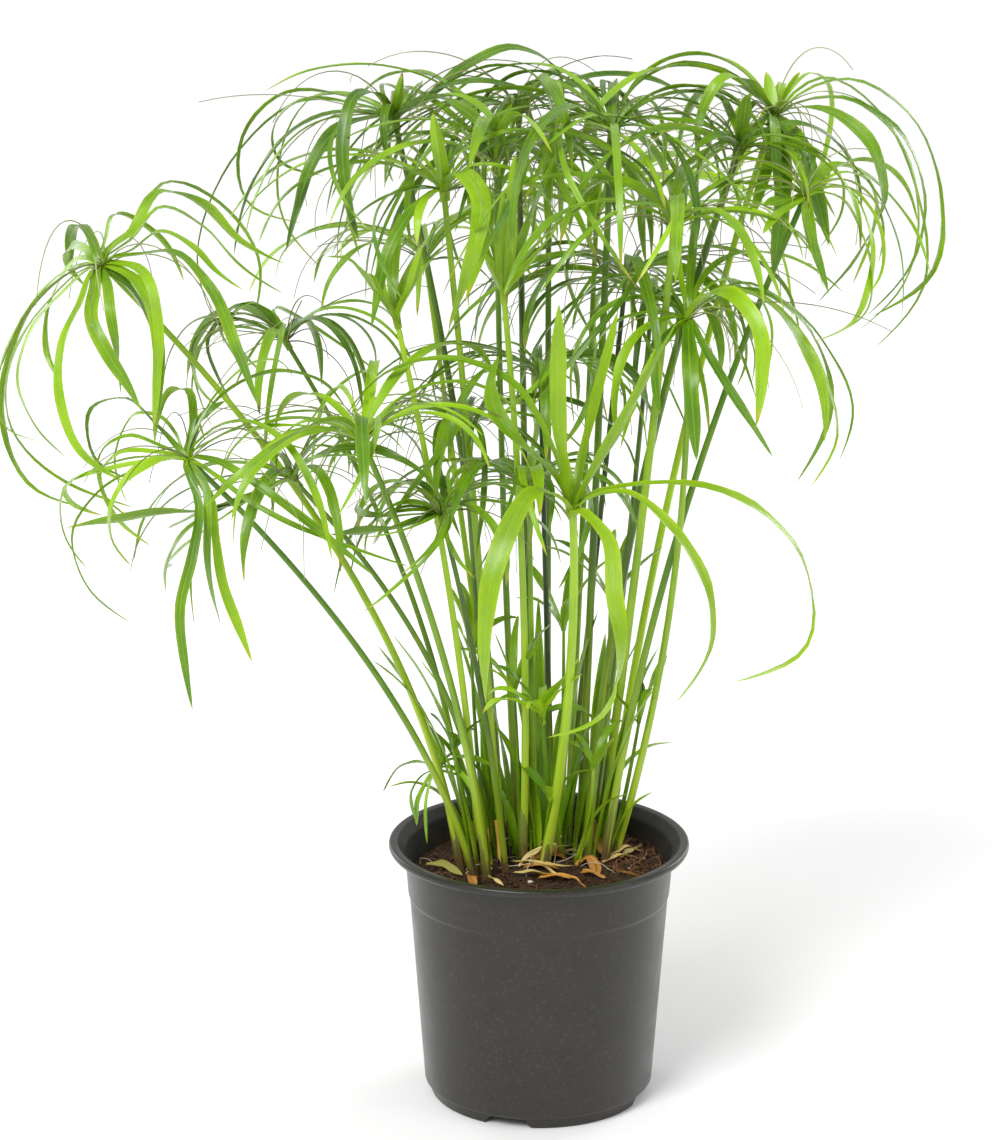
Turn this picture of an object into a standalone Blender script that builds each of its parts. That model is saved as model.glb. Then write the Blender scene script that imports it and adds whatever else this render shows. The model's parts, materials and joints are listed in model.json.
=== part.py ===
"""An umbrella sedge in a black plastic nursery pot, in metres, +Z up.

The origin is on the ground under the middle of the pot, and the front of the plant faces -Y.
Each shoot is one bare culm (stem) that carries an umbrella of leaf-like bracts at its top.
Lengths in the tables are in millimetres and angles in degrees. Crowns and traced bracts are
given as (x, z) where the line of sight from EYE meets the upright plane y = 0, and each has a
depth, its real y, to which it is moved along that line.
"""

import math
from typing import NamedTuple

import bmesh
import bpy
from mathutils import Matrix, Vector
from mathutils.bvhtree import BVHTree

MM = 0.001
GAP = 0.3  # mm between pieces that touch
CLEARANCE = 0.8  # how far a bract is kept from its neighbours
EYE = (-22, -1975, 863)

# Pot: a 17 cm thermoformed nursery pot, radii and heights of its turned profile
POT_STEPS = 36
POT_OUTSIDE = (
    (28, 0),
    (31, 5.5),
    (57, 5.5),
    (57.5, 0),
    (61.5, 0),
    (62.5, 6.5),
    (65, 7),
    (73.2, 118),
    (74, 119.5),
    (76, 144.5),
    (83.5, 145),
    (85, 147.5),
    (83, 150),
)
POT_INSIDE = ((79, 149.6), (74.6, 144.5), (72.4, 119.5), (71.6, 117.5), (63, 8))
POT_FLOOR_TOP = 8
NOTCH_FIRST_AZIMUTH = -107
NOTCH_WIDTH = 23
NOTCH_HEIGHT = 5.2
NOTCH_RADII = (53, 70)

# Soil: peat that fills the pot and is mounded where the culms stand
SOIL_EDGE_HEIGHT = 130
SOIL_MOUND = 8
SOIL_MOUND_AT = (6, 22)
SOIL_MOUND_SPREAD = 42
SOIL_RINGS = (0.3, 0.62, 0.84, 1)
SOIL_WAVE = 1.1
SOIL_WAVES_PER_MM = (0.07, 0.06)  # in radians along x and y
SOIL_WAVE_STARTS = (1.3, -0.4)
SOIL_TILT = 0.03
ROOT_DEPTH = 13

# Culms: blunt three-sided stems
CULM_SEGMENTS = 6
CULM_FOOT_SHARE = 1.15  # width at the foot, of the nominal width
CULM_TOP_SHARE = 0.8
CULM_TURNS_PER_MM = (37, 53)  # degrees that a culm's corners turn with the x and y of its foot

# Umbrellas: a short drum on the culm's end whose sides grow out into the bracts
HUB_HEIGHT = 5
HUB_EXTRA_RADIUS = 1.6
HUB_TEST_SIDES = 6
BRACT_SEGMENTS = 5
BRACT_KEEL = 0.3  # depth of the keel, of the bract's width
KEEL_LEAST = 1.1
PATH_STEPS = 40
WIDTH_SHARES = (0.5, 0.92, 1.0, 0.86, 0.6, 0)  # at equal steps from hub to tip
HANG_SHARE = 0.65  # share of a traced bract's length after which its depth stays the same
SEAT_SHARE = 0.6  # least angle between neighbours on the hub, of an even share of the ring
SEAT_ROUNDS = 60
OUT_STEP = 16  # the step of a path whose direction from the hub counts as the bract's heading
ROOT_SHARE = 0.1  # how near the hub's centre a bract's clearance test starts

# Filler bracts are varied by multiples of two irrational steps, so that no two are alike
FIRST_STEP = 0.618034
SECOND_STEP = 0.754878
AZIMUTH_SPREAD = 10
LENGTH_SHARES = (0.75, 1.15)
WIDTH_RANGE = (0.75, 1.25)
LAUNCH_SPREAD = 24
END_SPREAD = 30
SWEEP_SPREAD = 40
LEAN_SHARE = 0.6  # how much of the culm's lean the bracts make up for

# Colours and roughness
PLASTIC = (0.028, 0.026, 0.022)
PLASTIC_ROUGHNESS = 0.42
PEAT = (0.05, 0.026, 0.018)
PEAT_ROUGHNESS = 0.95
CULM_ROUGHNESS = 0.45
BRACT_ROUGHNESS = 0.5


class Traced(NamedTuple):
    """A bract drawn through points seen from EYE."""

    via: tuple  # (x, z) points, the last one its tip
    depth: float  # how far its tip stands behind the crown
    width: float = 6
    twist: float = 0


class Arched(NamedTuple):
    """A bract that bends down in an upright plane."""

    azimuth: float  # 0 to the right, 90 to the back
    length: float
    launch: float  # angle above the horizon at the hub
    end: float  # angle at the tip, below -90 where it curls back in
    width: float = 6
    bend: float = 1  # above 1 it starts straight and bends later
    sweep: float = 0  # turn of the azimuth from hub to tip


class Age(NamedTuple):
    """How the arched bracts of a shoot of one age stand, and its colour."""

    launch: float
    end: float
    width: float
    bend: float
    colour: tuple


AGES = {
    "young": Age(68, 20, 7, 1.3, (0.30, 0.56, 0.03)),
    "mature": Age(46, -72, 6.5, 1.15, (0.14, 0.36, 0.03)),
    "old": Age(36, -94, 6, 1.1, (0.07, 0.22, 0.03)),
}


class Shoot(NamedTuple):
    """One culm with its umbrella."""

    foot: tuple  # x, y where it leaves the soil
    crown: tuple  # (x, z) of the culm's top
    depth: float  # y of the culm's top
    bow: tuple  # x, y that the middle of the culm stands off its chord
    stalk: float  # width of the culm
    age: str
    reach: float  # length of the arched bracts that fill the umbrella
    fill: int  # how many of those
    traced: tuple = ()


SHOOTS = (
    # Far left, leaning out of the pot
    Shoot(
        (-44, 4), (-236, 478), -10, (36, 0), 4.6, "mature", 125, 1,
        (
            Traced(((-266, 468), (-288, 432), (-294, 388), (-278, 354), (-246, 342)), 20, 5),
            Traced(((-270, 454), (-284, 424), (-282, 398), (-258, 370)), -30, 5),
            Traced(((-260, 436), (-262, 404), (-254, 378), (-228, 358)), -50, 6),
            Traced(((-244, 448), (-230, 422), (-218, 398)), -40, 8),
            Traced(((-220, 462), (-210, 436), (-212, 398)), -25, 10),
            Traced(((-220, 498), (-204, 520), (-184, 514), (-162, 492), (-138, 480)), 40, 7),
            Traced(((-218, 502), (-198, 526), (-172, 512), (-152, 480), (-156, 448)), 75, 4),
        ),
    ),
    # Low left, in front
    Shoot(
        (-36, -11), (-192, 370), -60, (22, 0), 4.2, "mature", 120, 1,
        (
            Traced(((-222, 372), (-256, 360), (-266, 338), (-250, 308)), 15, 4),
            Traced(((-210, 390), (-236, 410), (-248, 390), (-240, 364), (-222, 358)), 45, 5),
            Traced(((-216, 368), (-234, 350), (-236, 322), (-226, 310)), -30, 7),
            Traced(((-190, 396), (-198, 418), (-210, 388)), 70, 5),
            Traced(((-186, 394), (-172, 404)), 40, 5),
            Traced(((-188, 344), (-194, 308), (-200, 280), (-194, 226)), -45, 6),
            Traced(((-180, 344), (-178, 308), (-160, 254)), -25, 7),
        ),
    ),
    # Upper left
    Shoot(
        (-21, 41), (-78, 556), 45, (10, 0), 4.6, "old", 140, 2,
        (
            Traced(
                ((-108, 572), (-134, 574), (-156, 556), (-162, 534), (-154, 508), (-128, 502)),
                30, 5,
            ),
            Traced(((-114, 562), (-142, 544), (-160, 512), (-166, 484)), -5, 6),
            Traced(((-104, 556), (-122, 536), (-138, 486)), -45, 9),
            Traced(((-92, 576), (-104, 562), (-106, 528), (-98, 492)), -60, 8),
            Traced(((-76, 572), (-74, 584)), -12, 6),
            Traced(((-58, 572), (-32, 592), (-4, 596), (14, 576), (12, 562)), 30, 8),
            Traced(((-58, 570), (-42, 564), (-24, 548)), -50, 9),
        ),
    ),
    # Upper left, nearer
    Shoot(
        (-22, 16), (-52, 518), 0, (2, 0), 4.6, "mature", 140, 4,
        (
            Traced(((-44, 530), (-32, 514), (-36, 490), (-50, 444)), -60, 11),
            Traced(((-54, 536), (-58, 562)), -20, 8),
            Traced(((-66, 512), (-82, 488), (-92, 444)), -40, 7),
        ),
    ),
    # Lime, left of the middle
    Shoot(
        (-33, 9), (-78, 448), -30, (6, 0), 4.2, "young", 62, 4,
        (
            Traced(((-80, 476), (-76, 508)), 15, 8),
            Traced(((-100, 480), (-116, 484)), -25, 7),
            Traced(((-70, 468), (-64, 490)), -15, 7),
        ),
    ),
    # Lime, in the middle
    Shoot(
        (-9, 4), (-20, 462), -30, (5, 0), 4.6, "young", 66, 3,
        (
            Traced(((-16, 502), (-14, 540)), -15, 10),
            Traced(((-6, 504), (8, 540)), 12, 8),
            Traced(((-2, 486), (10, 502)), -25, 7),
            Traced(((-32, 488),), -8, 9),
        ),
    ),
    # The bright one in front
    Shoot(
        (3, -4), (18, 342), -85, (6, 10), 6.2, "young", 70, 0,
        (
            Traced(((-4, 352), (-24, 312), (-30, 268), (-30, 230)), -55, 14),
            Traced(((34, 338), (42, 284), (42, 232), (4, 210)), -50, 12, -30),
            Traced(((54, 350), (88, 308), (96, 268), (76, 230)), -40, 9),
            Traced(
                ((56, 356), (96, 356), (138, 326), (154, 280), (134, 248), (106, 242)),
                20, 8,
            ),
            Traced(((10, 388), (10, 458)), -16, 12),
            Traced(((26, 384), (42, 454)), 18, 8),
            Traced(((44, 390), (74, 448)), -22, 9),
            Traced(((40, 382), (54, 404)), 35, 7),
            Traced(((2, 388), (-20, 418), (-60, 428), (-96, 412), (-110, 390)), 35, 5),
        ),
    ),
    # Right of the middle
    Shoot(
        (43, 12), (80, 448), -20, (12, 0), 4.6, "mature", 130, 2,
        (
            Traced(((106, 466), (134, 450), (158, 410), (162, 376), (148, 354)), 10, 6),
            Traced(((108, 468), (136, 444), (154, 410), (156, 380)), -35, 8),
            Traced(((98, 466), (120, 440), (118, 388)), -60, 9),
            Traced(((96, 422), (128, 372)), -30, 6),
            Traced(((82, 416), (86, 370)), -35, 9),
        ),
    ),
    # Thick dark one, upper right
    Shoot(
        (27, 3), (106, 540), 10, (-14, 0), 5.6, "old", 140, 3,
        (
            Traced(((80, 552), (52, 550), (24, 524), (10, 490)), -50, 9),
            Traced(((86, 556), (46, 560)), 10, 6),
            Traced(((110, 572),), -25, 10),
        ),
    ),
    # Top right, behind
    Shoot(
        (41, 42), (124, 558), 60, (-10, 0), 5, "mature", 140, 1,
        (
            Traced(((108, 584), (80, 594), (52, 580), (40, 552)), 25, 7),
            Traced(((108, 580), (90, 576), (84, 544)), -45, 7),
            Traced(((120, 584),), 12, 7),
            Traced(((138, 584),), -12, 7),
            Traced(((160, 580), (194, 566), (216, 514), (208, 466), (178, 450)), 30, 5),
            Traced(((160, 570), (198, 544), (206, 492), (176, 450)), -25, 6),
            Traced(((158, 562), (184, 532), (178, 496), (150, 458)), -50, 9),
            Traced(((140, 542), (156, 490)), -55, 10),
            Traced(((130, 524), (126, 474)), -45, 11),
        ),
    ),
    # Upper right, lower
    Shoot(
        (37, 2), (142, 516), -5, (-14, 0), 4.6, "mature", 130, 3,
        (
            Traced(((162, 524), (180, 488), (168, 446), (146, 436)), -20, 5),
            Traced(((148, 490), (156, 466)), -35, 5),
            Traced(((120, 512),), -20, 9),
        ),
    ),
    # Small and dark, left and behind
    Shoot(
        (-40, 24), (-138, 436), 55, (20, 0), 3.6, "old", 110, 5,
        (Traced(((-152, 460), (-170, 444), (-150, 418)), -15, 6),),
    ),
    # Left, in the lower tier
    Shoot(
        (-31, -2), (-134, 358), -25, (26, 0), 3.8, "old", 125, 6,
        (Traced(((-170, 344), (-214, 340), (-262, 332)), -25, 9, 50),),
    ),
    # Middle left, in the lower tier
    Shoot(
        (-19, -7), (-54, 338), -45, (4, 0), 3.8, "old", 95, 5,
        (Traced(((-78, 332), (-116, 328)), -20, 9, 40),),
    ),
    # Top middle, its bracts spread flat
    Shoot((-12, 30), (-24, 532), 20, (-2, 0), 4.2, "mature", 125, 8),
    # Top middle, behind
    Shoot((-4, 49), (-12, 560), 75, (0, 0), 4.6, "old", 140, 8),
    # Top, right of the middle
    Shoot((24, 28), (38, 550), 20, (0, 0), 5, "old", 140, 8),
    # Right, with a broad stalk
    Shoot((34, 24), (72, 498), -25, (-4, 0), 5.4, "mature", 130, 8),
    # Middle right, in the shade
    Shoot((16, 46), (46, 470), 45, (0, 0), 3.8, "old", 125, 7),
    # Behind the middle
    Shoot((5, 57), (4, 532), 115, (0, -8), 4.6, "old", 145, 8),
    # Right and behind
    Shoot((31, 53), (60, 456), 90, (2, -6), 3.8, "old", 125, 7),
    # In the heart of the clump
    Shoot((8, 20), (0, 416), 20, (0, 0), 3.8, "old", 115, 7),
    # Left, lime stalk
    Shoot((-29, -14), (-96, 378), -65, (10, 2), 4.6, "mature", 120, 7),
    # Middle left, behind
    Shoot((-25, 29), (-42, 388), 35, (0, 0), 3.8, "old", 115, 7),
    # Middle, low, behind the bright one
    Shoot((-2, 12), (-6, 352), 4, (0, 0), 3.8, "mature", 95, 7),
    # Far back
    Shoot((17, 59), (30, 505), 165, (0, -14), 4.2, "mature", 140, 8),
    # Back left
    Shoot((-18, 54), (-62, 480), 130, (0, -10), 4.2, "mature", 130, 8),
    # Short shoots at the foot of the clump
    Shoot(
        (13, 5), (2, 222), -20, (-2, 0), 3.6, "mature", 45, 1,
        (
            Traced(((7, 235), (14, 245), (22, 257)), -12, 9),
            Traced(((-8, 239), (-16, 248), (-24, 253)), -6, 7),
            Traced(((-12, 231), (-22, 234), (-32, 224)), -22, 6),
            Traced(((12, 228), (26, 226), (36, 212)), 14, 6),
        ),
    ),
    Shoot(
        (-42, 15), (-57, 190), 10, (0, 0), 3.2, "mature", 40, 1,
        (
            Traced(((-48, 198), (-38, 198), (-27, 194)), -18, 6),
            Traced(((-63, 184), (-68, 172), (-69, 158)), -14, 5),
            Traced(((-56, 204), (-62, 218)), 6, 7),
            Traced(((-68, 196), (-80, 192), (-88, 178)), 12, 6),
        ),
    ),
)

# Changes that a bract tries in turn until it clears its neighbours: of an arched one's
# azimuth, launch and end, and of a traced one's depth
ARCHED_TRIES = [
    (side * turn, lift, droop)
    for turn in (0, 4, 8, 13, 18)
    for lift in (0, 6, -6, 12)
    for droop in (0, -12, 12)
    for side in (1, -1)
]
TRACED_TRIES = [0, -5, 5, -10, 10, -16, 16, -24, 24, -34, 34, -45, 45]
# Changes of a culm's bow, in mm, for the same reason
CULM_TRIES = [(0, 0)] + [
    (step * math.cos(turn), step * math.sin(turn))
    for step in (3, 6, 9, 12, 16)
    for turn in (0, math.pi / 2, math.pi, 3 * math.pi / 2)
]


def clear_scene():
    for obj in list(bpy.data.objects):
        bpy.data.objects.remove(obj, do_unlink=True)


def material(name, colour, roughness):
    made = bpy.data.materials.new(name)
    made.use_nodes = True
    made.diffuse_color = (*colour, 1)
    shader = made.node_tree.nodes["Principled BSDF"]
    shader.inputs["Base Color"].default_value = (*colour, 1)
    shader.inputs["Roughness"].default_value = roughness
    shader.inputs["Metallic"].default_value = 0
    return made


def add_object(name, bm, skin, at=(0, 0, 0)):
    """Turns a bmesh in millimetres into an object in metres, with its origin at the given point."""
    bmesh.ops.recalc_face_normals(bm, faces=bm.faces)
    bmesh.ops.translate(bm, verts=bm.verts, vec=-Vector(at))
    bmesh.ops.scale(bm, verts=bm.verts, vec=(MM, MM, MM))
    mesh = bpy.data.meshes.new(name)
    bm.to_mesh(mesh)
    bm.free()
    mesh.materials.append(skin)
    mesh.shade_smooth()
    mesh.set_sharp_from_angle(angle=math.radians(40))
    obj = bpy.data.objects.new(name, mesh)
    obj.location = Vector(at) * MM
    bpy.context.scene.collection.objects.link(obj)
    return obj


def turned(profile):
    """A closed solid of revolution about Z, from (radius, height) points from axis to axis."""
    bm = bmesh.new()
    line = [bm.verts.new((r, 0, z)) for r, z in profile]
    edges = [bm.edges.new(pair) for pair in zip(line, line[1:])]
    bmesh.ops.spin(
        bm,
        geom=line + edges,
        axis=(0, 0, 1),
        cent=(0, 0, 0),
        steps=POT_STEPS,
        angle=math.tau,
        use_merge=True,
    )
    bmesh.ops.remove_doubles(bm, verts=bm.verts, dist=0.001)
    return bm


def cut(target, cutter):
    """Takes the cutter away from the target by a Boolean that stays on the target."""
    cutter.hide_render = True
    cutter.display_type = "WIRE"
    modifier = target.modifiers.new("cut", "BOOLEAN")
    modifier.operation = "DIFFERENCE"
    modifier.solver = "EXACT"
    modifier.object = cutter


def build_pot():
    profile = [(0, 0), *POT_OUTSIDE, *POT_INSIDE, (0, POT_FLOOR_TOP)]
    plastic = material("pot_plastic", PLASTIC, PLASTIC_ROUGHNESS)
    pot = add_object("pot", turned(profile), plastic)
    notches = bmesh.new()
    low, high = NOTCH_RADII
    for quarter in range(4):
        turn = Matrix.Rotation(math.radians(NOTCH_FIRST_AZIMUTH + 90 * quarter), 3, "Z")
        box = bmesh.ops.create_cube(notches, size=1)["verts"]
        bmesh.ops.scale(notches, verts=box, vec=(high - low, NOTCH_WIDTH, 2 * NOTCH_HEIGHT))
        bmesh.ops.translate(notches, verts=box, vec=((low + high) / 2, 0, 0))
        bmesh.ops.rotate(notches, verts=box, cent=(0, 0, 0), matrix=turn)
    cut(pot, add_object("notch_cutter", notches, plastic))


def soil_height(x, y):
    """Height of the soil's surface: a mound under the clump, and slow waves."""
    off = (x - SOIL_MOUND_AT[0]) ** 2 + (y - SOIL_MOUND_AT[1]) ** 2
    mound = SOIL_MOUND * math.exp(-off / SOIL_MOUND_SPREAD**2)
    along = SOIL_WAVES_PER_MM[0] * x + SOIL_WAVE_STARTS[0]
    across = SOIL_WAVES_PER_MM[1] * y + SOIL_WAVE_STARTS[1]
    waves = SOIL_WAVE * math.sin(along) * math.cos(across)
    return SOIL_EDGE_HEIGHT + mound + waves + SOIL_TILT * x


def build_soil(sockets):
    """Soil that stands clear of the pot's inside and of the culms by the gap."""
    (wall_low, low), (wall_high, high) = POT_INSIDE[-1], POT_INSIDE[-2]
    slope = (wall_high - wall_low) / (high - low)
    floor = POT_FLOOR_TOP + GAP
    bottom_radius = wall_low + slope * (floor - low) - 2 * GAP
    top_radius = bottom_radius + slope * (SOIL_EDGE_HEIGHT - floor)
    profile = [(0, floor), (bottom_radius, floor)]
    profile += [(share * top_radius, SOIL_EDGE_HEIGHT) for share in reversed(SOIL_RINGS)]
    profile += [(0, SOIL_EDGE_HEIGHT)]
    bm = turned(profile)
    for vert in bm.verts:
        if vert.co.z > floor + 1:
            vert.co.z = soil_height(vert.co.x, vert.co.y)
    peat = material("soil", PEAT, PEAT_ROUGHNESS)
    cut(add_object("soil", bm, peat), add_object("socket_cutter", sockets, peat))


def at_depth(x, z, depth):
    """The point at a depth on the line of sight through (x, z) of the plane y = 0."""
    eye = Vector(EYE)
    return eye.lerp(Vector((x, 0, z)), 1 - depth / eye.y)


class Solid:
    """Points and faces of one closed piece, in millimetres, with its search tree."""

    def __init__(self, points, faces):
        self.points = points
        self.faces = faces
        self.tree = BVHTree.FromPolygons(points, faces)
        self.low = [min(p[i] for p in points) for i in range(3)]
        self.high = [max(p[i] for p in points) for i in range(3)]

    def meets(self, other):
        apart = any(self.low[i] > other.high[i] or other.low[i] > self.high[i] for i in range(3))
        return not apart and bool(self.tree.overlap(other.tree))

    def add_to(self, bm):
        verts = [bm.verts.new(p) for p in self.points]
        for face in self.faces:
            bm.faces.new([verts[i] for i in face])
        return bm


def prism_faces(rings, sides=3, tip=False):
    """Faces of a run of rings of points, closed by end faces, or by a last single point."""
    faces = [tuple(range(sides))[::-1]]
    for ring in range(rings - 1):
        a, b = ring * sides, (ring + 1) * sides
        for i in range(sides):
            j = (i + 1) % sides
            faces.append((a + i, a + j, b + j, b + i))
    last = (rings - 1) * sides
    if tip:
        faces += [(last + i, last + (i + 1) % sides, last + sides) for i in range(sides)]
    else:
        faces.append(tuple(range(last, last + sides)))
    return faces


def culm_line(shoot, nudge=(0, 0)):
    """Points and tangents of a culm's centre line from its root to its top."""
    foot = Vector((*shoot.foot, soil_height(*shoot.foot)))
    chord = at_depth(*shoot.crown, shoot.depth) - foot
    bow = Vector((shoot.bow[0] + nudge[0], shoot.bow[1] + nudge[1], 0))
    line = []
    start = -ROOT_DEPTH / chord.z
    for step in range(CULM_SEGMENTS + 1):
        t = start + (1 - start) * step / CULM_SEGMENTS
        point = foot + chord * t + bow * (4 * t * (1 - t))
        line.append((point, (chord + bow * (4 * (1 - 2 * t))).normalized()))
    return line


def culm_solid(shoot, nudge=(0, 0), grow=0.0):
    """The culm as a three-sided prism along its line, its surface moved out by grow."""
    points = []
    line = culm_line(shoot, nudge)
    turn = math.radians(sum(t * at for t, at in zip(CULM_TURNS_PER_MM, shoot.foot)))
    for step, (point, tangent) in enumerate(line):
        share = CULM_FOOT_SHARE + (CULM_TOP_SHARE - CULM_FOOT_SHARE) * step / CULM_SEGMENTS
        radius = share * shoot.stalk / math.sqrt(3) + 2 * grow
        across = Vector((math.cos(turn), math.sin(turn), 0))
        across = (across - tangent * across.dot(tangent)).normalized()
        other = tangent.cross(across)
        end = {0: -grow, CULM_SEGMENTS: grow}.get(step, 0)
        for corner in range(3):
            angle = math.tau * corner / 3
            side = across * math.cos(angle) + other * math.sin(angle)
            points.append(point + side * radius + tangent * end)
    return Solid(points, prism_faces(CULM_SEGMENTS + 1))


class Umbrella:
    """The hub of one shoot and the bracts chosen for it so far."""

    def __init__(self, shoot, nudge):
        self.shoot = shoot
        self.nudge = nudge
        top, self.axis = culm_line(shoot, nudge)[-1]
        self.radius = shoot.stalk * CULM_TOP_SHARE / math.sqrt(3) + HUB_EXTRA_RADIUS
        self.base = top + self.axis * GAP
        self.centre = self.base + self.axis * (HUB_HEIGHT / 2)
        self.right = (Vector((1, 0, 0)) - self.axis * self.axis.x).normalized()
        self.back = self.axis.cross(self.right)
        self.bracts = []

    def around(self, angle):
        """The direction in the hub's own plane at an angle in radians."""
        return self.right * math.cos(angle) + self.back * math.sin(angle)

    def drum(self):
        """The hub alone, as an upright prism that stands in for it in clearance tests."""
        points = []
        for height in (0, HUB_HEIGHT):
            for i in range(HUB_TEST_SIDES):
                side = self.around(math.tau * i / HUB_TEST_SIDES) * (self.radius + GAP)
                points.append(self.base + self.axis * height + side)
        return Solid(points, prism_faces(2, HUB_TEST_SIDES))


def smooth_through(points, count):
    """count + 1 points at equal steps along a Catmull-Rom curve through the given points."""
    ends = [points[0] * 2 - points[1], *points, points[-1] * 2 - points[-2]]
    fine = []
    for a, b, c, d in zip(ends, ends[1:], ends[2:], ends[3:]):
        for k in range(count):
            t = k / count
            fine.append(
                b
                + (c - a) * (t / 2)
                + (a * 2 - b * 5 + c * 4 - d) * (t * t / 2)
                + (b * 3 - a - c * 3 + d) * (t**3 / 2)
            )
    fine.append(points[-1])
    run = [0.0]
    for a, b in zip(fine, fine[1:]):
        run.append(run[-1] + (b - a).length)
    found = []
    k = 0
    for step in range(count + 1):
        goal = run[-1] * step / count
        while k < len(fine) - 2 and run[k + 1] < goal:
            k += 1
        share = (goal - run[k]) / max(run[k + 1] - run[k], 1e-9)
        found.append(fine[k].lerp(fine[k + 1], min(share, 1)))
    return found


def traced_path(umbrella, bract):
    """A traced bract's centre line, whose depth grows over the first part of its length."""
    crown_y = umbrella.centre.y
    seen = [Vector(umbrella.shoot.crown), *(Vector(p) for p in bract.via)]
    run = [0.0]
    for a, b in zip(seen, seen[1:]):
        run.append(run[-1] + (b - a).length)
    points = [umbrella.centre]
    for (x, z), gone in zip(seen[1:], run[1:]):
        share = min(1, gone / run[-1] / HANG_SHARE)
        points.append(at_depth(x, z, crown_y + bract.depth * math.sin(share * math.pi / 2)))
    return smooth_through(points, PATH_STEPS)


def arched_path(umbrella, bract):
    """An arched bract's centre line: its slope turns steadily from launch to end."""
    point = umbrella.centre.copy()
    path = [point]
    for k in range(PATH_STEPS):
        share = (k + 0.5) / PATH_STEPS
        rise = math.radians(bract.launch + (bract.end - bract.launch) * share**bract.bend)
        azimuth = math.radians(bract.azimuth + bract.sweep * share**2)
        level = Vector((math.cos(azimuth), math.sin(azimuth), 0)) * math.cos(rise)
        point = point + (level + Vector((0, 0, math.sin(rise)))) * (bract.length / PATH_STEPS)
        path.append(point)
    return path


def bract_rings(umbrella, bract, grow=0.0):
    """Rings of three points (left, right, keel) along a bract, its tip and its heading."""
    is_traced = isinstance(bract, Traced)
    path = traced_path(umbrella, bract) if is_traced else arched_path(umbrella, bract)
    out = path[OUT_STEP] - path[0]
    heading = math.atan2(out.y, out.x)
    turning = 0 if is_traced else math.radians(bract.sweep)
    rings = []
    for station in range(1, BRACT_SEGMENTS):
        share = station / BRACT_SEGMENTS
        k = round(PATH_STEPS * share)
        tangent = (path[k + 1] - path[k - 1]).normalized()
        level = heading + turning * share**2
        side = Vector((math.sin(level), -math.cos(level), 0))
        side = (side - tangent * side.dot(tangent)).normalized()
        if is_traced and bract.twist:
            side = Matrix.Rotation(math.radians(bract.twist * share), 3, tangent) @ side
        normal = side.cross(tangent)
        width = bract.width * WIDTH_SHARES[station] + 2 * grow
        keel = max(KEEL_LEAST, BRACT_KEEL * width) + 2 * grow
        crest = path[k] + normal * (keel / 3)
        across = side * (width / 2)
        rings.append((crest - across, crest + across, crest - normal * keel))
    return rings, path[-1], heading


class Fitted(NamedTuple):
    """A bract that has found its place, with the solids that later ones are tested against."""

    bract: tuple
    heading: float
    whole: Solid
    outer: Solid


def fitted(umbrella, bract):
    """A bract grown by the gap, whole and without the stretch next to the hub."""
    rings, tip, heading = bract_rings(umbrella, bract, CLEARANCE)
    points = [p for ring in rings for p in ring] + [tip]
    outer = Solid(points, prism_faces(len(rings), tip=True))
    root = [umbrella.centre.lerp(p, ROOT_SHARE) for p in rings[0]]
    whole = Solid(root + points, prism_faces(len(rings) + 1, tip=True))
    return Fitted(bract, heading, whole, outer)


def variants(bract):
    """The bract, then versions of it changed more and more."""
    if isinstance(bract, Traced):
        for step in TRACED_TRIES:
            yield bract._replace(depth=bract.depth + step)
    else:
        for turn, lift, droop in ARCHED_TRIES:
            yield bract._replace(
                azimuth=bract.azimuth + turn,
                launch=bract.launch + lift,
                end=bract.end + lift + droop,
            )


def place(umbrella, bract, placed):
    """Adds the bract, changed as little as needed to stay clear of every piece."""
    for variant in variants(bract):
        new = fitted(umbrella, variant)
        if any(new.outer.meets(own.outer) for own in umbrella.bracts):
            continue
        if any(new.whole.meets(solid) for owner, solid in placed if owner is not umbrella):
            continue
        umbrella.bracts.append(new)
        placed.append((umbrella, new.whole))
        return


def widest_gap(headings):
    """The middle of the widest gap in a ring of headings, in degrees."""
    ring = sorted(math.degrees(h) % 360 for h in headings)
    if not ring:
        return 0
    gaps = [((b - a) % 360 or 360, a) for a, b in zip(ring, ring[1:] + ring[:1])]
    gap, start = max(gaps)
    return start + gap / 2


def filler(umbrella, number):
    """A bract for the widest gap, with its own length, width, rise, droop and sweep."""
    shoot = umbrella.shoot
    age = AGES[shoot.age]
    azimuth = widest_gap([own.heading for own in umbrella.bracts])
    first = FIRST_STEP * (number + shoot.foot[0]) % 1
    second = SECOND_STEP * (number + shoot.foot[1]) % 1
    level = math.radians(azimuth)
    lean = math.degrees(umbrella.axis.x * math.cos(level) + umbrella.axis.y * math.sin(level))
    shortest, longest = LENGTH_SHARES
    narrowest, widest = WIDTH_RANGE
    return Arched(
        azimuth=azimuth + AZIMUTH_SPREAD * (first - 0.5),
        length=shoot.reach * (shortest + (longest - shortest) * second),
        launch=age.launch - LEAN_SHARE * lean + LAUNCH_SPREAD * (first - 0.5),
        end=age.end + END_SPREAD * (second - 0.5),
        width=age.width * (narrowest + (widest - narrowest) * first),
        bend=age.bend,
        sweep=SWEEP_SPREAD * (second - 0.5),
    )


def hub_seats(umbrella):
    """The bracts in their order round the hub, and an angle for each, eased apart."""

    def seat(own):
        out = Vector((math.cos(own.heading), math.sin(own.heading), 0))
        return math.atan2(out.dot(umbrella.back), out.dot(umbrella.right))

    bracts = sorted(umbrella.bracts, key=seat)
    seats = [seat(own) for own in bracts]
    count = len(seats)
    least = SEAT_SHARE * math.tau / count
    for _ in range(SEAT_ROUNDS):
        for i in range(count):
            j = (i + 1) % count
            lap = math.tau if j == 0 else 0
            short = least - (seats[j] + lap - seats[i])
            if short > 0:
                seats[i] -= short / 2
                seats[j] += short / 2
    return bracts, seats


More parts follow.
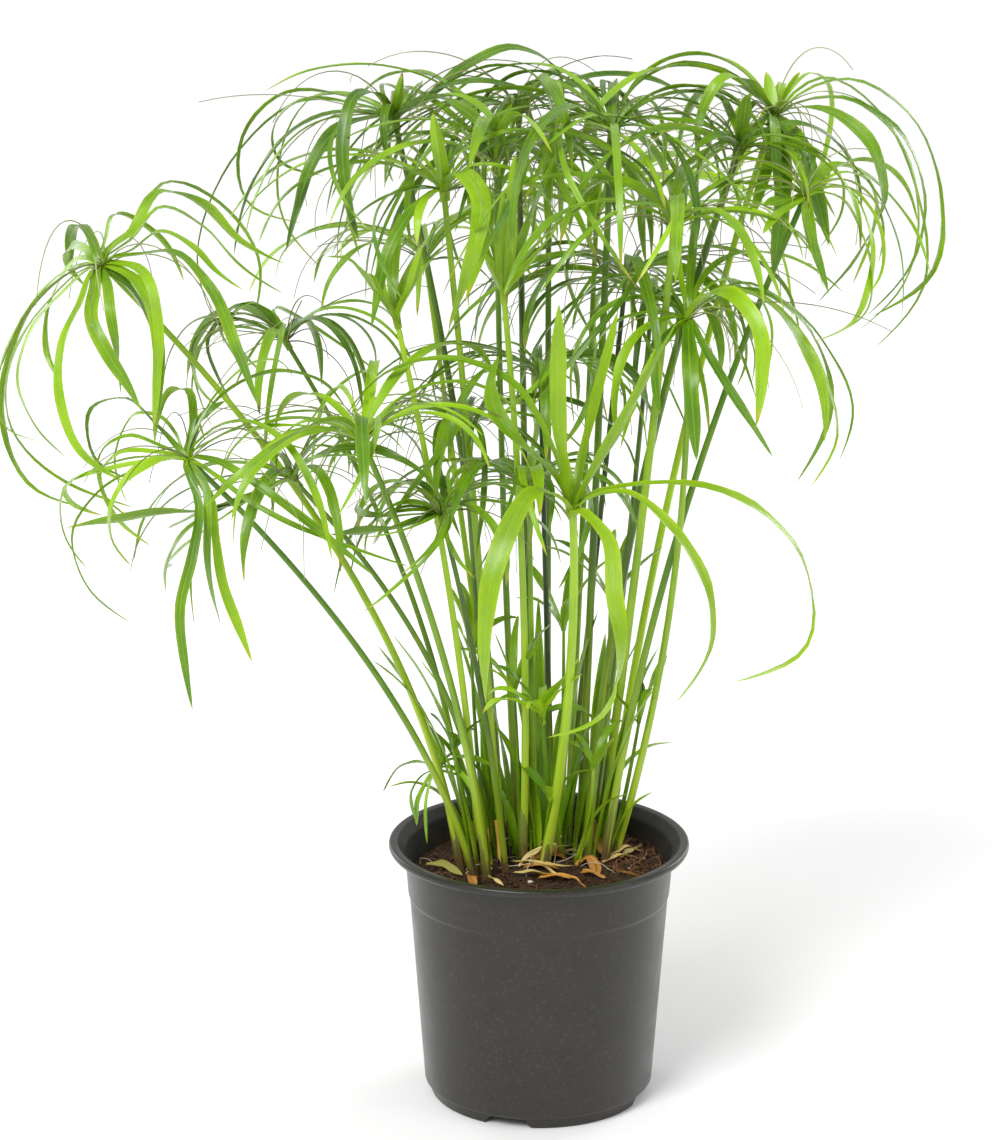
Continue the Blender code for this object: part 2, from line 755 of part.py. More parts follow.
def umbrella_mesh(umbrella):
    """The hub and its bracts as one closed surface: each side face of the hub grows a bract."""
    bm = bmesh.new()
    bracts, seats = hub_seats(umbrella)
    count = len(bracts)
    top, bottom = [], []
    for i in range(count):
        gap = (seats[i] - seats[i - 1]) % math.tau
        edge = umbrella.around(seats[i - 1] + gap / 2)
        high = umbrella.base + umbrella.axis * HUB_HEIGHT + edge * umbrella.radius
        low = umbrella.base + edge * (umbrella.radius - HUB_EXTRA_RADIUS / 2)
        top.append(bm.verts.new(high))
        bottom.append(bm.verts.new(low))
    bm.faces.new(top)
    bm.faces.new(bottom[::-1])
    for i, own in enumerate(bracts):
        j = (i + 1) % count
        rings, tip, _ = bract_rings(umbrella, own.bract)
        verts = [[bm.verts.new(p) for p in ring] for ring in rings]
        left, right, keel = verts[0]
        bm.faces.new((top[j], top[i], right, left))
        bm.faces.new((bottom[j], top[j], left, keel))
        bm.faces.new((top[i], bottom[i], keel, right))
        bm.faces.new((bottom[i], bottom[j], keel))
        for a, b in zip(verts, verts[1:]):
            for k in range(3):
                m = (k + 1) % 3
                bm.faces.new((a[k], a[m], b[m], b[k]))
        end = bm.verts.new(tip)
        for k in range(3):
            bm.faces.new((verts[-1][k], verts[-1][(k + 1) % 3], end))
    return bm


def grow_plant():
    """Chooses every culm, then every bract, each clear of the ones before it."""
    placed = []
    umbrellas = []
    for shoot in SHOOTS:
        for nudge in CULM_TRIES:
            umbrella = Umbrella(shoot, nudge)
            new = [culm_solid(shoot, nudge, GAP), umbrella.drum()]
            if not any(solid.meets(other) for solid in new for _, other in placed):
                break
        else:
            raise ValueError(f"the culm with its foot at {shoot.foot} finds no room")
        placed += [(umbrella, solid) for solid in new]
        umbrellas.append(umbrella)
    for umbrella in umbrellas:
        for bract in umbrella.shoot.traced:
            place(umbrella, bract, placed)
    for umbrella in umbrellas:
        for number in range(umbrella.shoot.fill):
            place(umbrella, filler(umbrella, number), placed)
    return umbrellas


def main():
    clear_scene()
    build_pot()
    skins = {
        name: (
            material(f"culm_{name}", age.colour, CULM_ROUGHNESS),
            material(f"bract_{name}", age.colour, BRACT_ROUGHNESS),
        )
        for name, age in AGES.items()
    }
    sockets = bmesh.new()
    for number, umbrella in enumerate(grow_plant(), 1):
        shoot = umbrella.shoot
        culm_skin, bract_skin = skins[shoot.age]
        foot = (*shoot.foot, soil_height(*shoot.foot))
        culm = culm_solid(shoot, umbrella.nudge).add_to(bmesh.new())
        add_object(f"culm_{number:02d}", culm, culm_skin, foot)
        bracts = umbrella_mesh(umbrella)
        add_object(f"umbrella_{number:02d}", bracts, bract_skin, umbrella.centre)
        culm_solid(shoot, umbrella.nudge, GAP).add_to(sockets)
    build_soil(sockets)


main()
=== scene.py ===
import json
import math

import bpy
import numpy as np
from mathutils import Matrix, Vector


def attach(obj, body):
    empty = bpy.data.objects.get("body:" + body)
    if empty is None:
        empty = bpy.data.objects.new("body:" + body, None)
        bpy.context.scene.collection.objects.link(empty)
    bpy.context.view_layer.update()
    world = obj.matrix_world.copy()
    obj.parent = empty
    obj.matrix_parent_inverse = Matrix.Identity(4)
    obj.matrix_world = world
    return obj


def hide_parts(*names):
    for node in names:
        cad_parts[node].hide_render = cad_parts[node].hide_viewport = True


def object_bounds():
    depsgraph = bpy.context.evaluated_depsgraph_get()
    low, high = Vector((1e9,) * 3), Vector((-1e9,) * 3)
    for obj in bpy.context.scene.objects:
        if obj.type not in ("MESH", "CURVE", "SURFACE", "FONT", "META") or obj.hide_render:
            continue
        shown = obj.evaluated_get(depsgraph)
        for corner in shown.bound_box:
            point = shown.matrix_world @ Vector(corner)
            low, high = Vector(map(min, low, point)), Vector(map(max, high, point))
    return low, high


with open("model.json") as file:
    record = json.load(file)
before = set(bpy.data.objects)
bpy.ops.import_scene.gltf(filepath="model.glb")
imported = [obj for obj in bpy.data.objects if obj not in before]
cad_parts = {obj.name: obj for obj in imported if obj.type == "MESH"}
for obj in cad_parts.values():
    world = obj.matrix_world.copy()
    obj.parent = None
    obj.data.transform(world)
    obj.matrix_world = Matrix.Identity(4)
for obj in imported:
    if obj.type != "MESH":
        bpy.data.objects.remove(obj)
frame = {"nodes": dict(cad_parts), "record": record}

# An umbrella sedge in a nursery pot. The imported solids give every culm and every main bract:
# each is read back here as a centre line with a width, and dressed as a stem or a leaf blade.
CAD_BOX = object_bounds()
MM = 0.001
RNG = np.random.default_rng(41)
UP = np.array([0.0, 0.0, 1.0])

# Camera, at the photograph's height and angle: metres, degrees below the level, millimetres
CAMERA_AT = (-0.022, -1.975, 0.863)
CAMERA_TILT = 15.7
CAMERA_LENS = 117.0
LIGHTS_AIM = (0, 0, 0.3)

# Pot, in millimetres: radii and heights of its turned profile
POT_SIDES = 192
POT_OUTSIDE = (
    (28, 0),
    (31, 5.5),
    (57, 5.5),
    (57.5, 0),
    (61.5, 0),
    (62.5, 6.5),
    (65, 7),
    (73.2, 118),
    (74, 119.5),
    (76, 144.5),
    (83.5, 145),
    (85, 147.2),
    (84.6, 149.6),
    (82.8, 150),
)
POT_INSIDE = ((79, 149.4), (75.2, 144.5), (72.6, 119.5), (71.9, 117.5), (63, 8), (0, 8))
POT_ROUNDING = 1.2
POT_ROUNDING_STEPS = 4
FOOT_RING = (56, 63.2)  # radii between which the foot is notched
NOTCH_HEIGHT = 5.2
NOTCH_FIRST_AZIMUTH = -107  # this and the next three in degrees
NOTCH_SPACING = 90
NOTCH_HALF_ANGLE = 11.2
NOTCH_SLOPE = 0.6

# Soil, in millimetres
SOIL_SIDES = 232
SOIL_RINGS = 92
SOIL_RADIUS = 73.3
SOIL_SMOOTH_FROM = 70  # its roughness fades out from here to the pot's wall
SOIL_FOOT_RADIUS = 62.5
SOIL_UNDERSIDE = 8.4
SOIL_TOP_ABOVE = 124  # packed points higher than this are on its upper side
CRUMBS = 1500
CRUMB_REACH = 70.5
STRAND_REACH = 69
STRAND_KNOTS = 6
# Pale beads on the soil: x, y and radius
BEADS = (
    (-5, -24, 1.7),
    (3, -8, 1.1),
    (38, -30, 0.9),
    (-46, -26, 0.8),
    (60, 12, 1.0),
    (-22, -44, 0.7),
    (18, -38, 0.8),
    (51, -2, 0.7),
)

# Culms
SHOOTS = 29
CULM_STATIONS = 7
CULM_RINGS = 56
CULM_SIDES = 14
CULM_ROUND = 0.74  # radius of the round stem, of the solid's corner radius
CULM_RIDGE = 0.09  # how far its three blunt corners stand out, of the radius
CULM_TURN = 2.4  # radians from one culm's corners to the next one's
# The two sheaths round a culm's foot: the range of shares of the wrapped length at which the
# edge lies, and how far the sheath stands off, in mm
SHEATHS = ((0.35, 0.8, 0.5), (0.15, 0.35, 0.95))
SHEATH_WRAP = (0.14, 0.24)  # wrapped length, of the culm's

# Bracts
BLADE_RINGS = 24
BLADE_ACROSS = (-1, -0.5, 0, 0.5, 1, 0.5, 0, -0.5)
BLADE_FOLD = (0.10, 0.38)  # height of the margins above the midrib, of half the width
BLADE_TWIST = (8, 34)  # degrees
BLADE_THICK = 0.32 * MM
MIDRIB_THICK = 0.7 * MM
THIN_BELOW = 1.2 * MM  # a blade is thinner where its half width is less than this
TIP_HALF_WIDTH = 0.08 * MM
MARGIN_WAVE = 0.09  # height of the ripples in the margins, of half the width
TAPER_FROM = 0.66  # share of the length at which a blade starts to narrow to its tip
HUB_RISE = 2.8 * MM  # from the culm's end up to the point where the bracts' lines start
SEAT_BELOW = 4 * MM  # a bract leaves the culm's side this far below the culm's end
SEAT_ABOVE = 1.2 * MM

# By the umbrella's age: degrees between neighbouring bracts, widths of the further and of the
# main bracts as shares of the solids' widths, and the number of flower rays
AGE_OF_SLOT = {"bract_young": "young", "bract_mature": "mature", "bract_old": "old"}
SISTER_SPACING = {"young": 50, "mature": 21, "old": 19}
SISTER_WIDTH = {"young": (0.45, 0.8), "mature": (0.32, 0.8), "old": (0.28, 0.7)}
MAIN_WIDTH = {"young": 0.8, "mature": 0.95, "old": 0.9}
RAYS = {"young": 0, "mature": 10, "old": 13}
MOST_SISTERS = 6  # between two main bracts
LEAST_SISTER = 1.0 * MM  # half width
SPARSE_FROM = 28  # umbrellas from this one on get fewer further bracts and no rays
SPARSE_SPACING = 1.8

# Dead leaves and straw on the soil: x and y of three points, heights above the soil there and
# width, in mm, and the piece that each belongs to
LITTER = (
    ((-64, 9), (-54, 3), (-43, -8), (2, 4, 1), 4.8, "olive_stub"),
    ((-40, -8), (-38, -18), (-36, -28), (1, 3, 1), 6, "dead_leaves"),
    ((-47, 22), (-45, 14), (-42, 4), (8, 5, 1), 5, "dead_leaves"),
    ((-39, 34), (-37, 30), (-36, 24), (16, 8, 1), 5.5, "dead_leaves"),
    ((-11, -6), (-1, 4), (14, 10), (1, 6, 9), 5, "straw"),
    ((-8, 20), (3, 24), (14, 28), (7, 9, 7), 3.2, "straw"),
    ((-3, -2), (6, 4), (16, -4), (2, 4, 1), 7.5, "dead_leaves"),
    ((22, -8), (28, -6), (34, -17), (1, 4, 1), 8, "dead_leaves"),
    ((32, 22), (34, 17), (38, 8), (17, 9, 1), 7, "dead_leaves"),
    ((47, 10), (53, 19), (60, 30), (1, 3, 2), 5, "straw"),
    ((-30, -14), (-26, -20), (-20, -30), (1, 2, 1), 3, "straw"),
    ((12, -22), (20, -26), (27, -36), (1, 2, 1), 2.4, "dead_leaves"),
    ((-14, -34), (-6, -40), (4, -44), (1, 1, 1), 2, "straw"),
    ((44, -10), (52, -16), (58, -18), (1, 2, 1), 2.6, "dead_leaves"),
    ((-58, -14), (-52, -22), (-46, -30), (1, 2, 1), 2.2, "straw"),
    ((-16, 2), (-6, -6), (8, -9), (1, 3, 2), 3.4, "straw"),
    ((-12, 12), (0, 14), (16, 14), (5, 8, 10), 2.6, "straw"),
    ((4, 8), (14, 12), (26, 8), (4, 8, 2), 3, "straw"),
    ((-6, -2), (4, -2), (18, 6), (6, 9, 7), 2.2, "straw"),
    ((36, -2), (46, 4), (58, 8), (2, 5, 2), 3.4, "straw"),
    ((40, 4), (50, 12), (60, 16), (4, 7, 3), 2.2, "straw"),
    ((-24, 4), (-22, 0), (-20, -6), (26, 14, 2), 5.5, "dead_leaves"),
    ((-30, 10), (-29, 6), (-27, 0), (20, 10, 2), 4.5, "dead_leaves"),
    ((28, 12), (29, 8), (30, 2), (18, 10, 2), 5, "dead_leaves"),
    ((-8, -8), (0, -12), (12, -12), (1, 3, 1), 6, "dead_leaves"),
    ((24, -16), (30, -20), (38, -22), (1, 3, 1), 6, "dead_leaves"),
    ((-14, -14), (-4, -20), (10, -19), (2, 5, 2), 4, "straw"),
    ((-10, -6), (2, -14), (14, -24), (1, 4, 1), 3, "straw"),
    ((-2, -10), (8, -16), (20, -14), (3, 6, 4), 3, "straw"),
    ((0, -20), (10, -24), (20, -24), (1, 3, 1), 6, "dead_leaves"),
)
# Leaves low in the clump: foot x and y, heading, length, angles above the level at the foot and
# at the tip, width, age; in mm and degrees
BASAL = (
    (-32, 6, 150, 92, 84, 40, 5, "mature"),
    (-22, 6, 100, 66, 86, 60, 4.5, "mature"),
    (-12, 6, 150, 58, 84, 30, 5, "old"),
    (-4, 6, 200, 96, 86, 46, 6, "mature"),
    (2, 14, 80, 90, 87, 60, 6, "mature"),
    (10, 8, 20, 70, 84, 50, 5, "young"),
    (14, 8, 20, 100, 86, 52, 6.5, "mature"),
    (22, -4, 330, 64, 80, 10, 4.5, "mature"),
    (26, 12, 50, 86, 86, 50, 5, "old"),
    (33, 18, 10, 92, 84, -20, 4.5, "young"),
    (-38, 14, 180, 82, 80, -30, 4.5, "young"),
    (-28, 22, 120, 84, 86, 56, 5, "old"),
    (6, 30, 60, 98, 87, 60, 5, "old"),
    (-16, 22, 140, 78, 86, 50, 5, "mature"),
    (38, 6, 340, 56, 78, 20, 4, "young"),
    (-8, 14, 120, 48, 80, 40, 4, "mature"),
    (18, 22, 30, 88, 88, 66, 5.5, "mature"),
    (-24, 10, 230, 74, 86, 44, 5, "old"),
    (0, 10, 210, 62, 88, 74, 6, "young"),
    (36, 26, 70, 80, 86, 50, 5, "mature"),
    (-36, 2, 176, 150, 80, 34, 6, "young"),
    (-30, 8, 168, 150, 78, 44, 6.5, "young"),
    (-34, 16, 184, 146, 74, 50, 6, "mature"),
    (-26, 2, 190, 140, 82, 50, 6, "young"),
    (-22, 14, 160, 150, 84, 56, 6, "mature"),
    (-14, 12, 150, 120, 86, 62, 5.5, "young"),
    (-2, 8, 150, 140, 87, 64, 6, "young"),
    (6, 12, 60, 112, 86, 58, 5.5, "mature"),
    (12, 14, 40, 150, 87, 66, 6, "young"),
    (24, 8, 10, 140, 84, 60, 6, "young"),
    (30, 4, 350, 120, 80, 52, 5.5, "mature"),
    (34, 14, 30, 130, 80, 54, 6, "young"),
    (20, 10, 40, 96, 84, 50, 5, "young"),
    (0, 20, 90, 150, 88, 66, 6, "mature"),
    (28, 22, 60, 130, 84, 56, 6, "mature"),
)
# Thin side shoots between the culms: foot x and y, top x, y and z, leaves, leaf length; in mm
SIDE_SHOOTS = (
    (40, 16, 56, 8, 216, 4, 34),
    (-34, 2, -48, -6, 204, 4, 30),
    (-10, 10, -14, -4, 236, 5, 40),
    (20, 2, 30, -14, 196, 4, 34),
    (-26, 14, -38, 22, 250, 5, 44),
    (10, 26, 14, 36, 262, 5, 46),
    (30, 26, 40, 30, 282, 5, 48),
    (4, -2, 6, -16, 178, 3, 28),
)

# Colours, as linear red, green and blue
PLASTIC_DARK = (0.015, 0.013, 0.009)
PLASTIC_GREY = (0.023, 0.020, 0.015)
PLASTIC_DUST = (0.20, 0.18, 0.15)
# painted shade for the pot's inside wall, darker than the plastic itself
PLASTIC_INSIDE_SHADE = (0.006, 0.0055, 0.005)
SOIL_DARK = (0.012, 0.007, 0.004)
SOIL_MID = (0.035, 0.020, 0.011)
SOIL_RED = (0.10, 0.042, 0.018)
SOIL_PALE = (0.34, 0.22, 0.13)
DRY_TIP = (0.09, 0.045, 0.015)
FOOT_BROWN = (0.055, 0.022, 0.010)
SHEATH_BROWN = (0.09, 0.035, 0.012)
SHEATH_GREEN = (0.24, 0.32, 0.045)
SHEATH_PALE = (0.40, 0.42, 0.14)

# Whole numbers that scatter a lattice corner's place and a seed into a random value
HASH_STEPS = np.array([374761393, 668265263, 2147483647])
HASH_SEED = 974711
HASH_MIX = 1274126177


def unit(vectors):
    """Vectors along the last axis, each divided by its own length."""
    return vectors / np.linalg.norm(vectors, axis=-1, keepdims=True).clip(1e-9)


def fade(low, high, values):
    """0 below low, 1 above high, and the S-curve 3t² - 2t³ between them."""
    t = np.clip((values - low) / (high - low), 0, 1)
    return t * t * (3 - 2 * t)


def through(knots, shares):
    """Rows of points at shares of the way along the smooth curve through each row's knots.

    Between two knots the curve is the Hermite cubic of the chord length, and its slope at a knot
    is the mean of the slopes on both sides, each weighted by the other side's length. Columns
    past the first three, such as a width, run along with the place.
    """
    step = np.linalg.norm(np.diff(knots[..., :3], axis=1), axis=-1).clip(1e-7)
    at = np.concatenate([np.zeros((len(knots), 1)), np.cumsum(step, axis=1)], axis=1)
    step, at = step / at[:, -1:], at / at[:, -1:]
    slope = np.diff(knots, axis=1) / step[..., None]
    before, after = step[:, :-1, None], step[:, 1:, None]
    inner = (slope[:, :-1] * after + slope[:, 1:] * before) / (before + after)
    first = 1.5 * slope[:, :1] - 0.5 * inner[:, :1]
    last = 1.5 * slope[:, -1:] - 0.5 * inner[:, -1:]
    tangent = np.concatenate([first, inner, last], axis=1)
    k = (shares[None, :, None] > at[:, None, 1:-1]).sum(axis=-1)

    def pick(rows, index):
        return np.take_along_axis(rows, index[..., None], axis=1)

    span = np.take_along_axis(step, k, axis=1)[..., None]
    t = (shares[None, :] - np.take_along_axis(at, k, axis=1))[..., None] / span
    return (
        (2 * t**3 - 3 * t**2 + 1) * pick(knots, k)
        + (t**3 - 2 * t**2 + t) * span * pick(tangent, k)
        + (3 * t**2 - 2 * t**3) * pick(knots, k + 1)
        + (t**3 - t**2) * span * pick(tangent, k + 1)
    )


def lattice_noise(points, cell, seed=0):
    """Smooth noise from -1 to 1: random values on a lattice of cubes, blended by S-curves."""
    at = points / cell
    low = np.floor(at).astype(np.int64)
    t = at - low
    t = t * t * (3 - 2 * t)
    total = np.zeros(points.shape[:-1])
    for corner in np.ndindex(2, 2, 2):
        c = low + np.array(corner)
        h = c @ HASH_STEPS + seed * HASH_SEED
        h = (h ^ (h >> 13)) * HASH_MIX
        h = ((h ^ (h >> 16)) & 0xFFFF) / 32767.5 - 1
        w = np.prod(np.where(np.array(corner) == 1, t, 1 - t), axis=-1)
        total += w * h
    return total


def loft(rings, start, end):
    """Closed skins over stacks of rings: B stacks of K rings of M points, in a (B, K, M, 3) array.

    Ring k is joined to ring k + 1 point by point, and the first and last rings are fanned to the
    start and end points. Seen along a stack, its rings turn anticlockwise about its direction.
    Returns points (B * (K * M + 2), 3) and faces, quads first, then triangles.
    """
    stacks, count, sides, _ = rings.shape
    body = rings.reshape(stacks, count * sides, 3)
    points = np.concatenate([body, start[:, None], end[:, None]], axis=1)
    m = np.arange(sides)
    n = (m + 1) % sides
    k = np.arange(count - 1)[:, None] * sides
    quads = np.stack([k + m, k + n, k + n + sides, k + m + sides], axis=-1).reshape(-1, 4)
    top = (count - 1) * sides
    pole = np.full(sides, count * sides)
    fans = np.concatenate(
        [np.stack([pole, n, m], axis=-1), np.stack([top + m, top + n, pole + 1], axis=-1)]
    )
    offset = np.arange(stacks)[:, None, None] * (count * sides + 2)
    return points.reshape(-1, 3), (quads + offset).reshape(-1, 4), (fans + offset).reshape(-1, 3)


def spread(values):
    """Values (B, K, M, 3) of the rings, and the means of the first and last ones for the poles."""
    body = values.reshape(len(values), -1, 3)
    ends = np.stack([values[:, 0].mean(1), values[:, -1].mean(1)], axis=1)
    return np.concatenate([body, ends], axis=1).reshape(-1, 3)


def new_piece(name, skin, parts, node=None, sharp=40):
    """One object from parts, each a dict of points, quads, tris and point attributes by name."""
    mesh = bpy.data.meshes.new(name)
    sizes = [len(p["points"]) for p in parts]
    starts = np.concatenate([[0], np.cumsum(sizes)[:-1]]).astype(int)
    points = np.concatenate([p["points"] for p in parts])
    quads = np.concatenate([p["quads"] + s for p, s in zip(parts, starts)])
    tris = np.concatenate([p["tris"] + s for p, s in zip(parts, starts)])
    mesh.vertices.add(len(points))
    mesh.vertices.foreach_set("co", points.astype(np.float32).ravel())
    corners = np.concatenate([quads.ravel(), tris.ravel()]).astype(np.int32)
    mesh.loops.add(len(corners))
    mesh.loops.foreach_set("vertex_index", corners)
    mesh.polygons.add(len(quads) + len(tris))
    first = np.concatenate([np.arange(len(quads)) * 4, len(quads) * 4 + np.arange(len(tris)) * 3])
    mesh.polygons.foreach_set("loop_start", first.astype(np.int32))
    for key in parts[0].get("layers", {}):
        values = np.concatenate([p["layers"][key] for p in parts]).astype(np.float32)
        kind = "FLOAT" if values.ndim == 1 else "FLOAT_VECTOR"
        layer = mesh.attributes.new(key, kind, "POINT")
        layer.data.foreach_set("value" if values.ndim == 1 else "vector", values.ravel())
    mesh.update(calc_edges=True)
    mesh.validate()
    mesh.shade_smooth()
    mesh.set_sharp_from_angle(angle=math.radians(sharp))
    mesh.materials.append(skin)
    piece = bpy.data.objects.new(name, mesh)
    bpy.context.scene.collection.objects.link(piece)
    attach(piece, "root")
    if node:
        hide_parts(node)
    return piece


def node_points(name):
    """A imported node's corner points, merged, with the neighbours of each."""
    mesh = frame["nodes"][name].data
    flat = np.zeros(len(mesh.vertices) * 3, np.float32)
    mesh.vertices.foreach_get("co", flat)
    corners = np.zeros(len(mesh.loops), np.int32)
    mesh.loops.foreach_get("vertex_index", corners)
    points, same = np.unique(flat.reshape(-1, 3).round(6), axis=0, return_inverse=True)
    faces = same.reshape(-1)[corners].reshape(-1, 3)
    around = [set() for _ in points]
    for a, b, c in faces:
        around[a] |= {b, c}
        around[b] |= {a, c}
        around[c] |= {a, b}
    return points.astype(float), around


def culm_knots(number):
    """Centres of a culm's stations from root to top, and its corner radii there."""
    points, _ = node_points(f"culm_{number:02d}")
    rings = points[np.argsort(points[:, 2])].reshape(-1, 3, 3)
    centres = rings.mean(axis=1)
    radii = np.linalg.norm(rings - centres[:, None], axis=-1).mean(axis=1)
    at = np.linspace(0, len(rings) - 1, CULM_STATIONS)
    low = np.minimum(at.astype(int), len(rings) - 2)
    share = (at - low)[:, None]
    rows = np.concatenate([centres, radii[:, None]], axis=1)
    rows = rows[low] * (1 - share) + rows[low + 1] * share
    return rows[:, :3], rows[:, 3]


def bract_knots(number, hub):
    """Stations (B, 6, 7) of an umbrella's bracts, from the hub to the tip.

    A bract's tip is the only point with three neighbours. The rings of three points before it
    are peeled off one by one: the ring's longest side is the blade's width, and the corner
    opposite is its keel. The columns are the place, half the width and the direction across.
    """
    points, around = node_points(f"umbrella_{number:02d}")
    bracts = []
    for tip in (i for i, near in enumerate(around) if len(near) == 3):
        seen, ring = {tip}, set(around[tip])
        stations = [(*points[tip], 0.0, 0.0, 0.0, 0.0)]
        while len(ring) == 3:
            i, j, k = ring
            sides = [(i, j, k), (j, k, i), (k, i, j)]
            a, b, keel = max(sides, key=lambda s: np.linalg.norm(points[s[0]] - points[s[1]]))
            crest = (points[a] + points[b]) / 2
            across = points[b] - points[a]
            middle = crest + (points[keel] - crest) / 4
            half = np.linalg.norm(across) / 2
            last = stations[-1][4:]
            if np.dot(last, across) < 0:
                across = -across
            stations.append((*middle, half, *unit(across)))
            up = crest - points[keel]
            seen |= ring
            ring = set().union(*(around[p] for p in ring)) - seen
        stations[0] = (*stations[0][:4], *stations[1][4:])
        rows = np.array(stations[::-1])
        travel = rows[1, :3] - rows[0, :3]
        if np.dot(np.cross(rows[0, 4:], travel), up) < 0:
            rows[:, 4:] *= -1
        bracts.append(np.concatenate([[[*hub, rows[0, 3], *rows[0, 4:]]], rows]))
    return np.array(bracts)


def distance_along(path):
    """Length of each path (B, K, 3) from its start to every one of its points."""
    move = np.linalg.norm(np.diff(path, axis=1), axis=-1)
    return np.concatenate([np.zeros((len(path), 1)), np.cumsum(move, axis=1)], axis=1)


def blades(knots, foot=0.6, twist=1.0):
    """Leaf blades with a keel, as closed skins, from knots (B, n, 7) like bract_knots gives.

    Along a blade the middle line follows the smooth curve through the knots. Its half width
    grows from a share of the full one at the foot, stays, and then falls as
    (1 - t^1.7)^0.8 over the last third. Across it, at a share a of the half width w, the upper
    side stands a * w out along the blade's own sideways direction and fold * |a|^1.3 * w up. The
    lower side is the same less a thickness that is greatest at the midrib. The sideways
    direction turns about the middle line by a slow sine, and the margins ripple slightly.
    """
    count = len(knots)
    shares = np.linspace(0, 1, BLADE_RINGS + 1) ** 0.94
    fine = through(knots, shares)
    path, side = fine[..., :3], fine[..., 4:]
    tangent = unit(np.gradient(path, axis=1))
    side = unit(side - tangent * (side * tangent).sum(-1, keepdims=True))
    up = np.cross(side, tangent)
    turn = np.radians(RNG.uniform(*BLADE_TWIST, (count, 1)) * RNG.choice([-1, 1], (count, 1)))
    turn = turn * twist * np.sin(shares * RNG.uniform(2.5, 7, (count, 1))) * fade(0.05, 0.4, shares)
    cos, sin = np.cos(turn)[..., None], np.sin(turn)[..., None]
    side, up = side * cos + up * sin, up * cos - side * sin
    full = knots[:, :, 3].max(axis=1, keepdims=True)
    grown = foot + (1 - foot) * fade(0.0, 0.38, shares)
    fall = np.clip((shares - TAPER_FROM) / (1 - TAPER_FROM), 0, 1)
    phase = RNG.uniform(0, math.tau, (count, 1))
    wobble = 1 + 0.05 * np.sin(shares * RNG.uniform(9, 20, (count, 1)) + phase)
    half = full * grown * (1 - fall**1.7) ** 0.8 * wobble + TIP_HALF_WIDTH
    seeds = RNG.uniform(0, 100, count)[:, None, None]
    run = distance_along(path)[..., None]
    a = np.array(BLADE_ACROSS)
    under = np.array([0, 0, 0, 0, 0, 1, 1, 1])
    wave = MARGIN_WAVE * np.sin(run * 190 + seeds + 2.2 * a) * np.abs(a) ** 3
    fold = RNG.uniform(*BLADE_FOLD, (count, 1)) * (1 - 0.4 * shares)
    rise = fold[..., None] * np.abs(a) ** 1.3 + wave
    deep = under * (BLADE_THICK + (MIDRIB_THICK - BLADE_THICK) * (1 - np.abs(a)) ** 3)
    deep = deep * np.minimum(1, half / THIN_BELOW)[..., None]
    out = half[..., None] * a
    high = half[..., None] * rise - deep
    rings = path[:, :, None] + side[:, :, None] * out[..., None] + up[:, :, None] * high[..., None]
    points, quads, tris = loft(rings[:, :-1], path[:, 0], path[:, -1])
    shape = rings.shape[:3]
    fibre = np.stack([out, np.broadcast_to(seeds, shape), np.broadcast_to(run, shape)], axis=-1)
    leaf = np.stack(np.broadcast_arrays(a, shares[None, :, None], under + 0 * out), axis=-1)
    layers = {
        "fibre": spread(fibre[:, :-1]),
        "leaf": spread(leaf[:, :-1]),
        "shade": np.repeat(RNG.uniform(0, 1, count), BLADE_RINGS * len(a) + 2),
    }
    return {"points": points, "quads": quads, "tris": tris, "layers": layers}


def tubes(knots, rings, sides, ridge=0.0, turn=0.0, offset=None):
    """Round stems, as closed skins, along knots (B, n, 4) of places and radii.

    The radius at an angle is r * (1 + ridge * cos 3 * angle), so a ridge gives three blunt
    corners, plus the offset's own value for the share along the stem and the angle. The frame
    across the stem is carried from one level direction, made square to its line.
    """
    count = len(knots)
    shares = np.linspace(0, 1, rings)
    fine = through(knots, shares)
    path, radius = fine[..., :3], fine[..., 3]
    tangent = unit(np.gradient(path, axis=1))
    level = np.array([math.cos(turn), math.sin(turn), 0.0]) + 0.001
    flat = (np.abs(tangent[..., 2:]) < 0.6).all(axis=1, keepdims=True)
    level = np.where(flat, UP, level)
    one = unit(level - tangent * (level * tangent).sum(-1, keepdims=True))
    two = np.cross(tangent, one)
    angle = np.arange(sides) * math.tau / sides
    reach = radius[..., None] * (1 + ridge * np.cos(3 * angle))
    if offset is not None:
        reach = reach + offset(shares[None, :, None], angle)
    x, y = reach * np.cos(angle), reach * np.sin(angle)
    across = x[..., None] * one[:, :, None] + y[..., None] * two[:, :, None]
    points, quads, tris = loft(path[:, :, None] + across, path[:, 0], path[:, -1])
    seeds = RNG.uniform(0, 100, count)[:, None, None]
    run = np.broadcast_to(distance_along(path)[..., None], reach.shape)
    leaf = np.stack(np.broadcast_arrays(0 * reach, shares[None, :, None], 0 * reach), axis=-1)
    layers = {
        "fibre": spread(np.stack([x, y + seeds, run], axis=-1)),
        "leaf": spread(leaf),
        "shade": np.repeat(RNG.uniform(0, 1, count), rings * sides + 2),
    }
    return {"points": points, "quads": quads, "tris": tris, "layers": layers}


